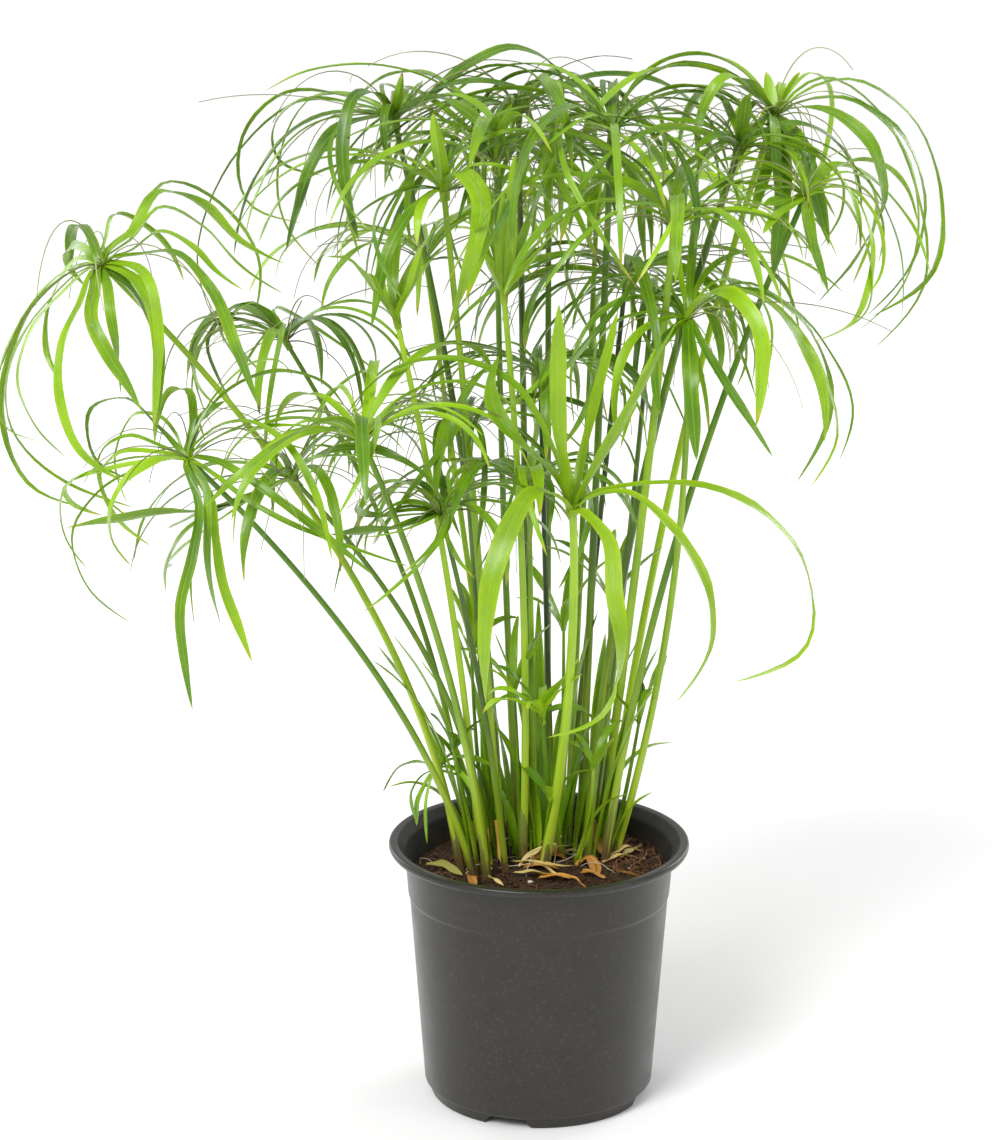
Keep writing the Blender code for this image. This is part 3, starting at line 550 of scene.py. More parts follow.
def arcs(base, azimuth, length, launch, end, width, bend=1.0, sweep=0.0, steps=7):
    """Knots (B, steps, 7) of blades that bend from a launch angle above the level to an end one.

    The angle at a share t is launch + (end - launch) * t^bend, the azimuth is turned by
    sweep * t, and the place is the sum of the steps. All angles are in degrees.
    """
    t = np.linspace(0, 1, steps)
    middle = (t[1:] + t[:-1]) / 2
    columns = [np.asarray(v, float).reshape(-1, 1) for v in (azimuth, length, launch, end, sweep)]
    azimuth, length, launch, end, sweep = columns
    rise = np.radians(launch + (end - launch) * middle**bend)
    head = np.radians(azimuth + sweep * middle)
    level = np.stack([np.cos(head), np.sin(head), 0 * head], axis=-1)
    move = np.cos(rise)[..., None] * level + np.sin(rise)[..., None] * UP
    move = move * (length / (steps - 1))[..., None]
    path = np.concatenate([0 * move[:, :1], np.cumsum(move, axis=1)], axis=1) + base[:, None]
    side = np.cross(np.concatenate([level[:, :1], level], axis=1), UP)
    half = np.broadcast_to(np.asarray(width, float).reshape(-1, 1, 1) / 2, (*path.shape[:2], 1))
    return np.concatenate([path, half, side], axis=-1)


class Shader:
    """Adds nodes to one tree and joins them; an input is a value or another node's output."""

    def __init__(self, tree):
        self.tree = tree

    def add(self, kind, inputs=None, **settings):
        node = self.tree.nodes.new(kind)
        for key, value in settings.items():
            setattr(node, key, value)
        for key, value in (inputs or {}).items():
            self.feed(node.inputs[key], value)
        return node

    def feed(self, socket, value):
        if isinstance(value, bpy.types.NodeSocket):
            self.tree.links.new(value, socket)
        elif hasattr(socket.default_value, "__len__") and len(socket.default_value) == 4:
            socket.default_value = (*value, 1)[:4]
        else:
            socket.default_value = value

    def math(self, operation, *values):
        inputs = dict(enumerate(values))
        return self.add("ShaderNodeMath", inputs, operation=operation).outputs[0]

    def ramp(self, value, low, high, start=0.0, end=1.0):
        """Start below low, end above high, and an S-curve between."""
        inputs = {"Value": value, "From Min": low, "From Max": high, "To Min": start, "To Max": end}
        node = self.add("ShaderNodeMapRange", inputs, interpolation_type="SMOOTHSTEP")
        return node.outputs["Result"]

    def mix(self, share, a, b):
        """Colour a at share 0 and b at share 1; the colours are the node's inputs 6 and 7."""
        node = self.add("ShaderNodeMix", data_type="RGBA")
        for key, value in ((0, share), (6, a), (7, b)):
            self.feed(node.inputs[key], value)
        return node.outputs[2]

    def total(self, *terms):
        """The sum of value times weight over the terms."""
        result = 0.0
        for value, weight in terms:
            result = self.math("MULTIPLY_ADD", value, weight, result)
        return result

    def layer(self, name, output="Vector"):
        return self.add("ShaderNodeAttribute", attribute_name=name).outputs[output]

    def parts(self, vector):
        return self.add("ShaderNodeSeparateXYZ", {0: vector}).outputs

    def noise(self, vector, scale, detail=2.0, rough=0.5):
        inputs = {"Vector": vector, "Scale": scale, "Detail": detail, "Roughness": rough}
        return self.add("ShaderNodeTexNoise", inputs).outputs[0]


def new_group(name, inputs, outputs):
    """A node group with the named sockets, its shader helper, and its input and output nodes."""
    tree = bpy.data.node_groups.new(name, "ShaderNodeTree")
    for key, kind, value in inputs:
        made = tree.interface.new_socket(key, in_out="INPUT", socket_type=kind)
        if value is not None:
            made.default_value = value
    for key, kind in outputs:
        tree.interface.new_socket(key, in_out="OUTPUT", socket_type=kind)
    s = Shader(tree)
    return tree, s, s.add("NodeGroupInput"), s.add("NodeGroupOutput")


def fibre_lines_group():
    """Fine lines along a stem or blade: stretched noise, and even veins that it breaks up."""
    tree, s, given, out = new_group(
        "fibre_lines",
        [("Fibre", "NodeSocketVector", None), ("Veins per mm", "NodeSocketFloat", 1.6)],
        [("Streaks", "NodeSocketFloat"), ("Veins", "NodeSocketFloat")],
    )
    x, y, z = s.parts(given.outputs["Fibre"])
    place = s.add("ShaderNodeCombineXYZ", {0: x, 1: y, 2: s.math("MULTIPLY", z, 0.04)}).outputs[0]
    streaks = s.noise(place, 900.0, 3.0, 0.6)
    wander = s.math("MULTIPLY", s.noise(place, 240.0), 0.9)
    turns = s.math("MULTIPLY", s.math("MULTIPLY", x, given.outputs["Veins per mm"]), 6283.0)
    veins = s.math("SINE", s.math("ADD", turns, s.math("MULTIPLY", wander, 6.0)))
    s.feed(out.inputs["Streaks"], streaks)
    s.feed(out.inputs["Veins"], s.ramp(veins, -0.4, 1.0))
    return tree


def mottle_group():
    """Blotches of two sizes at a place, between 0 and 1."""
    tree, s, given, out = new_group(
        "mottle",
        [("Place", "NodeSocketVector", None), ("Per metre", "NodeSocketFloat", 60.0)],
        [("Blotches", "NodeSocketFloat"), ("Specks", "NodeSocketFloat")],
    )
    per = given.outputs["Per metre"]
    coarse = s.noise(given.outputs["Place"], per, 3.0, 0.55)
    fine = s.noise(given.outputs["Place"], s.math("MULTIPLY", per, 9.0), 2.0, 0.6)
    s.feed(out.inputs["Blotches"], s.ramp(coarse, 0.3, 0.7))
    s.feed(out.inputs["Specks"], s.ramp(fine, 0.55, 0.72))
    return tree


FIBRE_LINES = fibre_lines_group()
MOTTLE = mottle_group()


def new_skin(name, roughness, specular=0.5):
    """A material with a Principled shader, its helper, and that shader."""
    skin = bpy.data.materials.new(name)
    skin.use_nodes = True
    shader = skin.node_tree.nodes["Principled BSDF"]
    shader.inputs["Roughness"].default_value = roughness
    shader.inputs["Specular IOR Level"].default_value = specular
    return skin, Shader(skin.node_tree), shader


def place_of(s):
    return s.add("ShaderNodeTexCoord").outputs["Object"]


def use_group(s, group, **inputs):
    node = s.add("ShaderNodeGroup", node_tree=group)
    for key, value in inputs.items():
        s.feed(node.inputs[key.replace("_", " ")], value)
    return node.outputs


def bump(s, shader, height, distance, strength=1.0):
    node = s.add("ShaderNodeBump", {"Height": height, "Distance": distance, "Strength": strength})
    s.feed(shader.inputs["Normal"], node.outputs[0])


def glow_through(shader, weight):
    """Light that is scattered inside a thin leaf."""
    shader.inputs["Subsurface Weight"].default_value = weight
    shader.inputs["Subsurface Radius"].default_value = (0.9, 1.0, 0.25)
    shader.inputs["Subsurface Scale"].default_value = 0.0015


def blade_skin(name, deep, bright, rib, below, yellow, tip_from, glow):
    """A leaf blade: streaked green, a pale midrib, a paler lower side, and a dry tip."""
    skin, s, shader = new_skin(name, 0.32, 0.42)
    across, along, under = s.parts(s.layer("leaf"))
    shade = s.layer("shade", "Fac")
    lines = use_group(s, FIBRE_LINES, Fibre=s.layer("fibre"), Veins_per_mm=1.4)
    streaks = lines["Streaks"]
    blotches = use_group(s, MOTTLE, Place=place_of(s), Per_metre=38.0)
    share = s.total((shade, 0.6), (streaks, 0.3), (blotches["Blotches"], 0.25))
    green = s.mix(s.ramp(share, 0.15, 1.0), deep, bright)
    green = s.mix(s.math("MULTIPLY", lines["Veins"], 0.12), green, below)
    green = s.mix(s.math("MULTIPLY", under, 0.25), green, below)
    near = s.ramp(s.math("ABSOLUTE", across), 0.14, 0.03)
    green = s.mix(s.math("MULTIPLY", near, 0.3), green, rib)
    root = s.ramp(along, 0.14, 0.0)
    green = s.mix(s.math("MULTIPLY", root, 0.6), green, rib)
    worn = s.total((along, 1.0), (shade, 0.12), (streaks, 0.06))
    fading = s.ramp(worn, tip_from, tip_from + 0.07)
    green = s.mix(s.math("MULTIPLY", fading, 0.7), green, yellow)
    dry = s.ramp(worn, tip_from + 0.06, tip_from + 0.10)
    s.feed(shader.inputs["Base Color"], s.mix(dry, green, DRY_TIP))
    s.feed(shader.inputs["Roughness"], s.total((streaks, 0.2), (1.0, 0.16)))
    glow_through(shader, glow)
    bump(s, shader, lines["Veins"], 0.00012, 0.6)
    return skin


def stem_skin(name, deep, bright, foot):
    """A culm: green with fine lengthwise lines, paler low down and brown at its very foot."""
    skin, s, shader = new_skin(name, 0.32, 0.5)
    _, along, _ = s.parts(s.layer("leaf"))
    shade = s.layer("shade", "Fac")
    lines = use_group(s, FIBRE_LINES, Fibre=s.layer("fibre"), Veins_per_mm=1.1)
    place = place_of(s)
    blotches = use_group(s, MOTTLE, Place=place, Per_metre=30.0)
    share = s.total((shade, 0.6), (lines["Streaks"], 0.35), (blotches["Blotches"], 0.2))
    green = s.mix(s.ramp(share, 0.2, 1.0), deep, bright)
    green = s.mix(s.math("MULTIPLY", s.ramp(along, 0.5, 0.05), 0.7), green, foot)
    height = s.total((s.parts(place)[2], 1.0), (blotches["Specks"], 0.006), (shade, 0.010))
    green = s.mix(s.ramp(height, 0.152, 0.137, 0.0, 0.8), green, FOOT_BROWN)
    s.feed(shader.inputs["Base Color"], green)
    s.feed(shader.inputs["Roughness"], s.total((lines["Streaks"], 0.18), (1.0, 0.22)))
    bump(s, shader, lines["Streaks"], 0.00015, 0.7)
    return skin


def dry_skin(name, dark, light, rough=0.7, glow=0.0):
    """A dead leaf, sheath, root or ray: two tones, streaked along its length."""
    skin, s, shader = new_skin(name, rough)
    shade = s.layer("shade", "Fac")
    lines = use_group(s, FIBRE_LINES, Fibre=s.layer("fibre"), Veins_per_mm=1.3)
    share = s.total((shade, 0.5), (lines["Streaks"], 0.6))
    s.feed(shader.inputs["Base Color"], s.mix(s.ramp(share, 0.2, 0.9), dark, light))
    s.feed(shader.inputs["Roughness"], s.total((lines["Streaks"], 0.2), (1.0, rough - 0.1)))
    glow_through(shader, glow)
    bump(s, shader, lines["Streaks"], 0.0002, 0.7)
    return skin


def sheath_skin():
    """A sheath round a culm's foot: pale green above, reddish brown towards the soil."""
    skin, s, shader = new_skin("sheath", 0.5)
    shade = s.layer("shade", "Fac")
    lines = use_group(s, FIBRE_LINES, Fibre=s.layer("fibre"), Veins_per_mm=1.8)
    height = s.parts(place_of(s))[2]
    height = s.total((height, 1.0), (lines["Streaks"], 0.02), (shade, 0.014))
    tone = s.mix(s.ramp(height, 0.150, 0.180), SHEATH_BROWN, SHEATH_GREEN)
    tone = s.mix(s.math("MULTIPLY", lines["Veins"], 0.25), tone, SHEATH_PALE)
    s.feed(shader.inputs["Base Color"], tone)
    s.feed(shader.inputs["Roughness"], s.total((lines["Streaks"], 0.2), (1.0, 0.4)))
    bump(s, shader, lines["Veins"], 0.0002, 0.6)
    return skin


def plastic_skin():
    """Dull black thermoformed plastic with a fine grain, faint dust, soil marks inside, and painted
    shade on the inside wall.
    """
    skin, s, shader = new_skin("black_plastic", 0.42)
    place = place_of(s)
    marks = use_group(s, MOTTLE, Place=place, Per_metre=55.0)
    body = s.mix(s.math("MULTIPLY", marks["Blotches"], 0.5), PLASTIC_DARK, PLASTIC_GREY)
    body = s.mix(s.math("MULTIPLY", marks["Specks"], 0.10), body, PLASTIC_DUST)
    inner = s.layer("inner", "Fac")
    # painted shade: the inside wall is darkened towards near black, as if shaded by the pot's own wall
    body = s.mix(s.math("MULTIPLY", inner, 0.7), body, PLASTIC_INSIDE_SHADE)
    near_soil = s.math("MULTIPLY", inner, s.ramp(s.parts(place)[2], 0.144, 0.131))
    dirt = s.math("MULTIPLY", near_soil, s.ramp(marks["Blotches"], 0.2, 0.8))
    s.feed(shader.inputs["Base Color"], s.mix(dirt, body, SOIL_MID))
    s.feed(shader.inputs["Roughness"], s.total((marks["Blotches"], 0.08), (inner, 0.4), (1.0, 0.28)))
    bump(s, shader, s.noise(place, 1500.0, 2.0, 0.6), 0.00006, 0.35)
    return skin


def peat_skin(name):
    """Moist peat: nearly black crumbs, redder and paler fibres between them."""
    skin, s, shader = new_skin(name, 0.9, 0.25)
    place = place_of(s)
    marks = use_group(s, MOTTLE, Place=place, Per_metre=90.0)
    fine = use_group(s, MOTTLE, Place=place, Per_metre=420.0)
    earth = s.mix(marks["Blotches"], SOIL_DARK, SOIL_MID)
    earth = s.mix(s.math("MULTIPLY", fine["Blotches"], 0.5), earth, SOIL_RED)
    earth = s.mix(s.math("MULTIPLY", fine["Specks"], 0.3), earth, SOIL_PALE)
    s.feed(shader.inputs["Base Color"], earth)
    s.feed(shader.inputs["Roughness"], s.total((marks["Specks"], 0.2), (1.0, 0.7)))
    bump(s, shader, fine["Blotches"], 0.0008, 0.8)
    return skin


BLADES = {
    "young": blade_skin(
        "young_bract",
        deep=(0.14, 0.29, 0.002),
        bright=(0.28, 0.48, 0.007),
        rib=(0.34, 0.50, 0.04),
        below=(0.29, 0.45, 0.02),
        yellow=(0.48, 0.48, 0.04),
        tip_from=1.08,
        glow=0.22,
    ),
    "mature": blade_skin(
        "mature_bract",
        deep=(0.070, 0.20, 0.003),
        bright=(0.33, 0.58, 0.008),
        rib=(0.42, 0.60, 0.05),
        below=(0.35, 0.52, 0.04),
        yellow=(0.50, 0.46, 0.03),
        tip_from=1.03,
        glow=0.2,
    ),
    "old": blade_skin(
        "old_bract",
        deep=(0.033, 0.115, 0.002),
        bright=(0.24, 0.46, 0.008),
        rib=(0.36, 0.52, 0.06),
        below=(0.28, 0.44, 0.05),
        yellow=(0.42, 0.37, 0.03),
        tip_from=1.0,
        glow=0.18,
    ),
}
STEMS = {
    "young": stem_skin(
        "young_stem",
        deep=(0.15, 0.31, 0.004),
        bright=(0.42, 0.65, 0.020),
        foot=(0.50, 0.65, 0.05),
    ),
    "mature": stem_skin(
        "mature_stem",
        deep=(0.08, 0.20, 0.003),
        bright=(0.38, 0.59, 0.018),
        foot=(0.49, 0.63, 0.04),
    ),
    "old": stem_skin(
        "old_stem",
        deep=(0.010, 0.032, 0.002),
        bright=(0.15, 0.29, 0.007),
        foot=(0.36, 0.49, 0.02),
    ),
}


def rounded(profile, radius, steps):
    """A profile whose corners are cut by quadratic curves that start radius away from them."""
    before, corner, after = profile[:-2], profile[1:-1], profile[2:]
    back, on = before - corner, after - corner
    near = np.minimum(radius, 0.45 * np.linalg.norm(back, axis=1))[:, None]
    far = np.minimum(radius, 0.45 * np.linalg.norm(on, axis=1))[:, None]
    start, end = corner + unit(back) * near, corner + unit(on) * far
    t = np.linspace(0, 1, steps)[None, :, None]
    bent = (1 - t) ** 2 * start[:, None] + 2 * t * (1 - t) * corner[:, None] + t**2 * end[:, None]
    return np.concatenate([profile[:1], bent.reshape(-1, 2), profile[-1:]])


def build_pot():
    """The pot: its rounded profile is turned about Z, and its foot is raised at four notches."""
    corners = np.array([(0, 0), *POT_OUTSIDE, *POT_INSIDE], float)
    profile = rounded(corners, POT_ROUNDING, POT_ROUNDING_STEPS) * MM
    angle = np.linspace(0, math.tau, POT_SIDES, endpoint=False)
    r, z = profile[1:-1, 0][:, None], profile[1:-1, 1][:, None]
    x, y = r * np.cos(angle), r * np.sin(angle)
    half = NOTCH_SPACING / 2
    off = (np.degrees(angle) - NOTCH_FIRST_AZIMUTH + half) % NOTCH_SPACING - half
    notch = 1 - fade(NOTCH_HALF_ANGLE - NOTCH_SLOPE, NOTCH_HALF_ANGLE + NOTCH_SLOPE, np.abs(off))
    inner_edge, outer_edge = np.array(FOOT_RING) * MM
    foot = (r > inner_edge) & (r < outer_edge) & (z < NOTCH_HEIGHT * MM)
    z = np.where(foot, np.maximum(z, NOTCH_HEIGHT * MM * notch), z + 0 * angle)
    rings = np.stack([x, y, z], axis=-1)[None]
    poles = np.array([[0, 0, profile[0, 1]]]), np.array([[0, 0, profile[-1, 1]]])
    points, quads, tris = loft(rings, *poles)
    # the inside faces, which the skin darkens with painted shade
    inside = np.arange(len(r)) > POT_ROUNDING_STEPS * len(POT_OUTSIDE)
    inner = np.concatenate([np.repeat(inside, POT_SIDES), [False, True]]).astype(float)
    parts = [{"points": points, "quads": quads, "tris": tris, "layers": {"inner": inner}}]
    new_piece("nursery_pot", plastic_skin(), parts, "pot", sharp=35)


class Ground:
    """The soil's surface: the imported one, with crumbs worked out as layers of lattice noise."""

    def __init__(self):
        points, _ = node_points("soil")
        self.known = points[points[:, 2] > SOIL_TOP_ABOVE * MM]

    def level(self, x, y):
        """Height at (x, y): the mean of the known points, weighted by 1 / (distance² + 2²)², in mm."""
        near = (x[..., None] - self.known[:, 0]) ** 2 + (y[..., None] - self.known[:, 1]) ** 2
        weight = 1 / (near + (2 * MM) ** 2) ** 2
        return (weight * self.known[:, 2]).sum(-1) / weight.sum(-1)

    def height(self, x, y):
        """The level and four layers of roughness: their heights in mm, their cells in metres."""
        place = np.stack([x, y, 0 * x], axis=-1)
        rough = 1.5 * lattice_noise(place, 0.011, 1) + 1.1 * lattice_noise(place, 0.005, 2)
        rough += 1.0 * np.abs(lattice_noise(place, 0.0026, 3))
        rough += 0.6 * lattice_noise(place, 0.0013, 4)
        edge = np.hypot(x, y)
        return self.level(x, y) + rough * MM * fade(SOIL_RADIUS * MM, SOIL_SMOOTH_FROM * MM, edge)


def build_soil(ground):
    """Peat: rings from the bottom up the wall and in over the top."""
    angle = np.linspace(0, math.tau, SOIL_SIDES, endpoint=False)
    share = np.linspace(1, 0.01, SOIL_RINGS) ** 0.8
    r = SOIL_RADIUS * MM * share[:, None] + 0 * angle
    x, y = r * np.cos(angle), r * np.sin(angle)
    top = np.stack([x, y, ground.height(x, y)], axis=-1)
    foot, underside = SOIL_FOOT_RADIUS * MM, SOIL_UNDERSIDE * MM
    low = np.stack([foot * np.cos(angle), foot * np.sin(angle), 0 * angle + underside], axis=-1)
    stack = np.concatenate([low[None], top])[None]
    points, quads, tris = loft(stack, np.array([[0, 0, underside]]), top[-1].mean(axis=0)[None])
    parts = [{"points": points, "quads": quads, "tris": tris}]
    new_piece("peat", peat_skin("peat"), parts, "soil", sharp=60)


def lumps(at, radius, squash=0.75):
    """Icosahedra at the places, their corners pushed in and out, turned about Z and flattened."""
    gold = (1 + 5**0.5) / 2
    corner = np.array([(-1, gold, 0), (1, gold, 0), (-1, -gold, 0), (1, -gold, 0)])
    corner = unit(np.concatenate([np.roll(corner, k, axis=1) for k in range(3)]))
    distance = np.linalg.norm(corner[:, None] - corner[None], axis=-1)
    close = (distance > 0.1) & (distance < 1.1)
    faces = np.argwhere(close[:, :, None] & close[:, None, :] & close[None])
    faces = faces[(np.diff(faces, axis=1) > 0).all(axis=1)]
    a, b, c = corner[faces].transpose(1, 0, 2)
    outward = (np.cross(b - a, c - a) * a).sum(axis=-1) > 0
    faces = np.where(outward[:, None], faces, faces[:, ::-1])
    count = len(at)
    turn = RNG.uniform(0, math.tau, (count, 1))
    push = RNG.uniform(0.65, 1.25, (count, 12)) * radius[:, None]
    x = (corner[:, 0] * np.cos(turn) - corner[:, 1] * np.sin(turn)) * RNG.uniform(0.8, 1.4, (count, 1))
    y = corner[:, 0] * np.sin(turn) + corner[:, 1] * np.cos(turn)
    z = corner[:, 2] * RNG.uniform(0.6, 1, (count, 1)) * squash
    points = at[:, None] + np.stack([x, y, z], axis=-1) * push[..., None]
    tris = faces[None] + np.arange(count)[:, None, None] * 12
    quads = np.zeros((0, 4), int)
    return {"points": points.reshape(-1, 3), "quads": quads, "tris": tris.reshape(-1, 3)}


def on_disc(count, reach, middle=(0.0, 0.0)):
    """Random x and y, spread evenly over a disc."""
    angle = RNG.uniform(0, math.tau, count)
    r = reach * np.sqrt(RNG.uniform(0, 1, count))
    return middle[0] + r * np.cos(angle), middle[1] + r * np.sin(angle)


def strands(ground, count, reach, middle, length, lift, radius):
    """Knots of thin tubes that lie on the soil on wandering lines, lifted in the middle.

    They start on a disc of a reach about its middle, in metres. Length, lift and radius are
    ranges in mm. The heading of each step is the one before plus a small random turn, and the
    lift is half a sine wave.
    """
    x, y = on_disc(count, reach, middle)
    head = RNG.uniform(0, math.tau, (count, 1))
    head = head + np.cumsum(RNG.normal(0, 0.45, (count, STRAND_KNOTS)), axis=1)
    step = RNG.uniform(*length, (count, 1)) / (STRAND_KNOTS - 1) * MM
    x = x[:, None] + np.cumsum(step * np.cos(head), axis=1)
    y = y[:, None] + np.cumsum(step * np.sin(head), axis=1)
    inward = np.minimum(1, STRAND_REACH * MM / np.hypot(x, y))
    x, y = x * inward, y * inward
    bend = np.sin(np.linspace(0.1, math.pi - 0.1, STRAND_KNOTS))
    bend = bend * RNG.uniform(*lift, (count, 1)) * MM
    z = ground.level(x, y) + 0.6 * MM + bend
    size = np.broadcast_to(RNG.uniform(*radius, (count, 1)) * MM, x.shape)
    return np.stack([x, y, z, size], axis=-1)


def build_crumbs(ground):
    """Crumbs of peat, a few pale beads, red-brown fibres and thin roots on the soil."""
    x, y = on_disc(CRUMBS, CRUMB_REACH * MM)
    radius = RNG.uniform(0.35, 1.0, CRUMBS) ** 2 * 2.3 * MM
    place = np.stack([x, y, ground.height(x, y) + radius * 0.15], axis=-1)
    new_piece("crumbs", peat_skin("crumbs"), [lumps(place, radius)], sharp=70)

    x, y, radius = np.array(BEADS).T * MM
    place = np.stack([x, y, ground.height(x, y) + radius * 0.5], axis=-1)
    skin = dry_skin("pale_bead", (0.50, 0.46, 0.34), (0.72, 0.68, 0.55))
    beads = lumps(place, radius, 1.0)
    shade = RNG.uniform(0, 1, len(beads["points"]))
    beads["layers"] = {"fibre": beads["points"], "shade": shade}
    new_piece("pale_beads", skin, [beads], sharp=70)

    skin = dry_skin("peat_fibre", (0.10, 0.035, 0.015), (0.30, 0.14, 0.06), 0.8)
    right = strands(
        ground, 110, reach=0.024, middle=(0.054, 0.008), length=(6, 17),
        lift=(0.5, 5), radius=(0.12, 0.3),
    )
    every = strands(
        ground, 150, reach=0.066, middle=(0, 0), length=(4, 12),
        lift=(0.2, 2.5), radius=(0.1, 0.25),
    )
    new_piece("peat_fibres", skin, [tubes(right, 10, 4), tubes(every, 10, 4)])
    skin = dry_skin("root", (0.42, 0.36, 0.26), (0.72, 0.68, 0.56), 0.6)
    right = strands(
        ground, 20, reach=0.024, middle=(0.016, 0.012), length=(12, 30),
        lift=(1, 6), radius=(0.14, 0.3),
    )
    left = strands(
        ground, 8, reach=0.02, middle=(-0.034, 0.012), length=(12, 24),
        lift=(1, 5), radius=(0.14, 0.28),
    )
    new_piece("thin_roots", skin, [tubes(right, 18, 5), tubes(left, 18, 5)])


def litter_knots(ground, spots, lift, width):
    """Knots of one fallen blade: the quadratic curve through three spots, lifted off the soil."""
    spots = np.array(spots, float) * MM
    t = np.linspace(0, 1, 5)[:, None]
    pull = 2 * spots[1] - (spots[0] + spots[2]) / 2
    flat = (1 - t) ** 2 * spots[0] + 2 * t * (1 - t) * pull + t**2 * spots[2]
    z = ground.level(flat[:, 0], flat[:, 1]) + (np.interp(t[:, 0], (0, 0.5, 1), lift) + 0.8) * MM
    head = unit(np.append(spots[2] - spots[0], 0.0))
    side = unit(np.cross(head, UP) + UP * RNG.uniform(-0.5, 0.5))
    half = np.full((5, 1), width * 0.42 * MM)
    return np.concatenate([flat, z[:, None], half, np.tile(side, (5, 1))], axis=1)


def build_litter(ground):
    """Dead leaves and straw over the soil."""
    tones = (
        ("straw", "bract_old", (0.60, 0.40, 0.12), (0.92, 0.74, 0.34)),
        ("dead_leaves", "bract_old", (0.30, 0.11, 0.015), (0.85, 0.44, 0.09)),
        ("olive_stub", "culm_old", (0.16, 0.15, 0.02), (0.36, 0.34, 0.06)),
    )
    for name, slot, dark, light in tones:
        own = [row for row in LITTER if row[5] == name]
        knots = np.array([litter_knots(ground, row[:3], row[3], row[4]) for row in own])
        skin = dry_skin(name, dark, light, 0.6, 0.15)
        new_piece(name, skin, [blades(knots, foot=0.7, twist=1.4)])


def side_shoot(ground, foot, top, count, reach):
    """A thin stalk's knots (5, 4) from the soil to its top, and the knots of its leaves."""
    foot = np.array([*foot, 0.0]) * MM
    foot[2] = ground.level(foot[:1], foot[1:2])[0] - 3 * MM
    top = np.array(top) * MM
    t = np.linspace(0, 1, 5)[:, None]
    path = foot * (1 - t) + top * t + RNG.uniform(-4, 4, 3) * MM * np.sin(t * math.pi)
    radius = np.linspace(1.5, 0.9, 5)[:, None] * MM
    head = RNG.uniform(0, 360) + np.arange(count) * 360 / count + RNG.uniform(-25, 25, count)
    leaves = arcs(
        np.tile(top, (count, 1)),
        azimuth=head,
        length=RNG.uniform(0.7, 1.25, count) * reach * MM,
        launch=RNG.uniform(52, 78, count),
        end=RNG.uniform(-30, 55, count),
        width=RNG.uniform(3.6, 6.4, count) * MM,
        bend=1.6,
        sweep=RNG.uniform(-25, 25, count),
    )
    return np.concatenate([path, radius], axis=1), leaves


def build_low_leaves(ground):
    """Leaves that rise from the clump's foot, and thin side shoots with a few leaves each."""
    x, y, head, length, launch, end, width = np.array([row[:7] for row in BASAL], float).T
    base = np.stack([x * MM, y * MM, ground.level(x * MM, y * MM) - 4 * MM], axis=-1)
    sweep = RNG.uniform(-30, 30, len(x))
    knots = arcs(base, head, length * MM, launch, end, width * MM, bend=2.2, sweep=sweep)
    ages = np.array([row[7] for row in BASAL])
    parts = {age: [blades(knots[ages == age], foot=0.5, twist=0.8)] for age in BLADES}
    stalks = []
    for fx, fy, tx, ty, tz, count, reach in SIDE_SHOOTS:
        stalk, leaves = side_shoot(ground, (fx, fy), (tx, ty, tz), count, reach)
        stalks.append(stalk)
        parts[RNG.choice(list(BLADES))].append(blades(leaves, foot=0.5, twist=0.8))
    thin = tubes(np.array(stalks), rings=24, sides=8, ridge=0.06)
    new_piece("side_stems", STEMS["mature"], [thin])
    for age, own in parts.items():
        new_piece(f"low_leaves_{age}", BLADES[age], own)


def inside_box(path, hub):
    """The path, drawn in towards the hub by as much as it stands out of the solids' box."""
    low, high = np.array(CAD_BOX[0]), np.array(CAD_BOX[1])
    past = max(np.maximum(low - path, path - high).max(), 0.0)
    return hub + (path - hub) * (1 - 2.2 * past / np.abs(path[-1] - hub).max())


def sisters(knots, hub, axis, spacing, width):
    """Further bracts between neighbours on the hub.

    At each station the radius, the azimuth and the height about the culm's axis are blended
    between the two neighbours. The azimuth is then swept on, the radius and the height are
    scaled by the sister's own length, and the height falls by its own droop.
    """
    right = unit(np.cross(np.array([0, 1, 0.001]), axis))
    back = np.cross(axis, right)
    off = knots[:, 1:, :3] - hub
    across, depth, high = off @ right, off @ back, off @ axis
    radius, azimuth = np.hypot(across, depth), np.unwrap(np.arctan2(depth, across), axis=1)
    order = np.argsort(azimuth[:, 1] % math.tau)
    steps = np.linspace(0.2, 1, radius.shape[1])
    made = []
    for i, j in zip(order, np.roll(order, -1)):
        first, last = azimuth[i, 1], azimuth[j, 1]
        gap = (last - first) % math.tau or math.tau
        extra = int(math.degrees(gap) / spacing - 1 + RNG.uniform(0.2, 0.9))
        for n in range(min(extra, MOST_SISTERS)):
            share = (n + 1 + RNG.uniform(-0.35, 0.35)) / (extra + 1)
            turn = (1 - share) * (azimuth[i] - first) + share * (azimuth[j] - last)
            turn = turn + first + share * gap + np.radians(RNG.uniform(-60, 60)) * steps**1.4
            scale = RNG.uniform(0.75, 1.18)
            reach = (radius[i] * (1 - share) + radius[j] * share) * scale * RNG.uniform(0.85, 1.1)
            rise = (high[i] * (1 - share) + high[j] * share) * scale
            rise = rise + RNG.uniform(-0.4, 0.25) * reach[-1] * steps**2
            way = np.cos(turn)[:, None] * right + np.sin(turn)[:, None] * back
            path = inside_box(hub + way * reach[:, None] + axis * rise[:, None], hub)
            row = knots[i] * (1 - share) + knots[j] * share
            row[1:, :3] = path
            row[:, 3] = max(row[:, 3].max() * RNG.uniform(*width), LEAST_SISTER)
            row[1:, 4:] = np.cross(way, axis)
            row[0, 4:] = row[1, 4:]
            made.append(row)
    return np.array(made).reshape(-1, *knots.shape[1:])


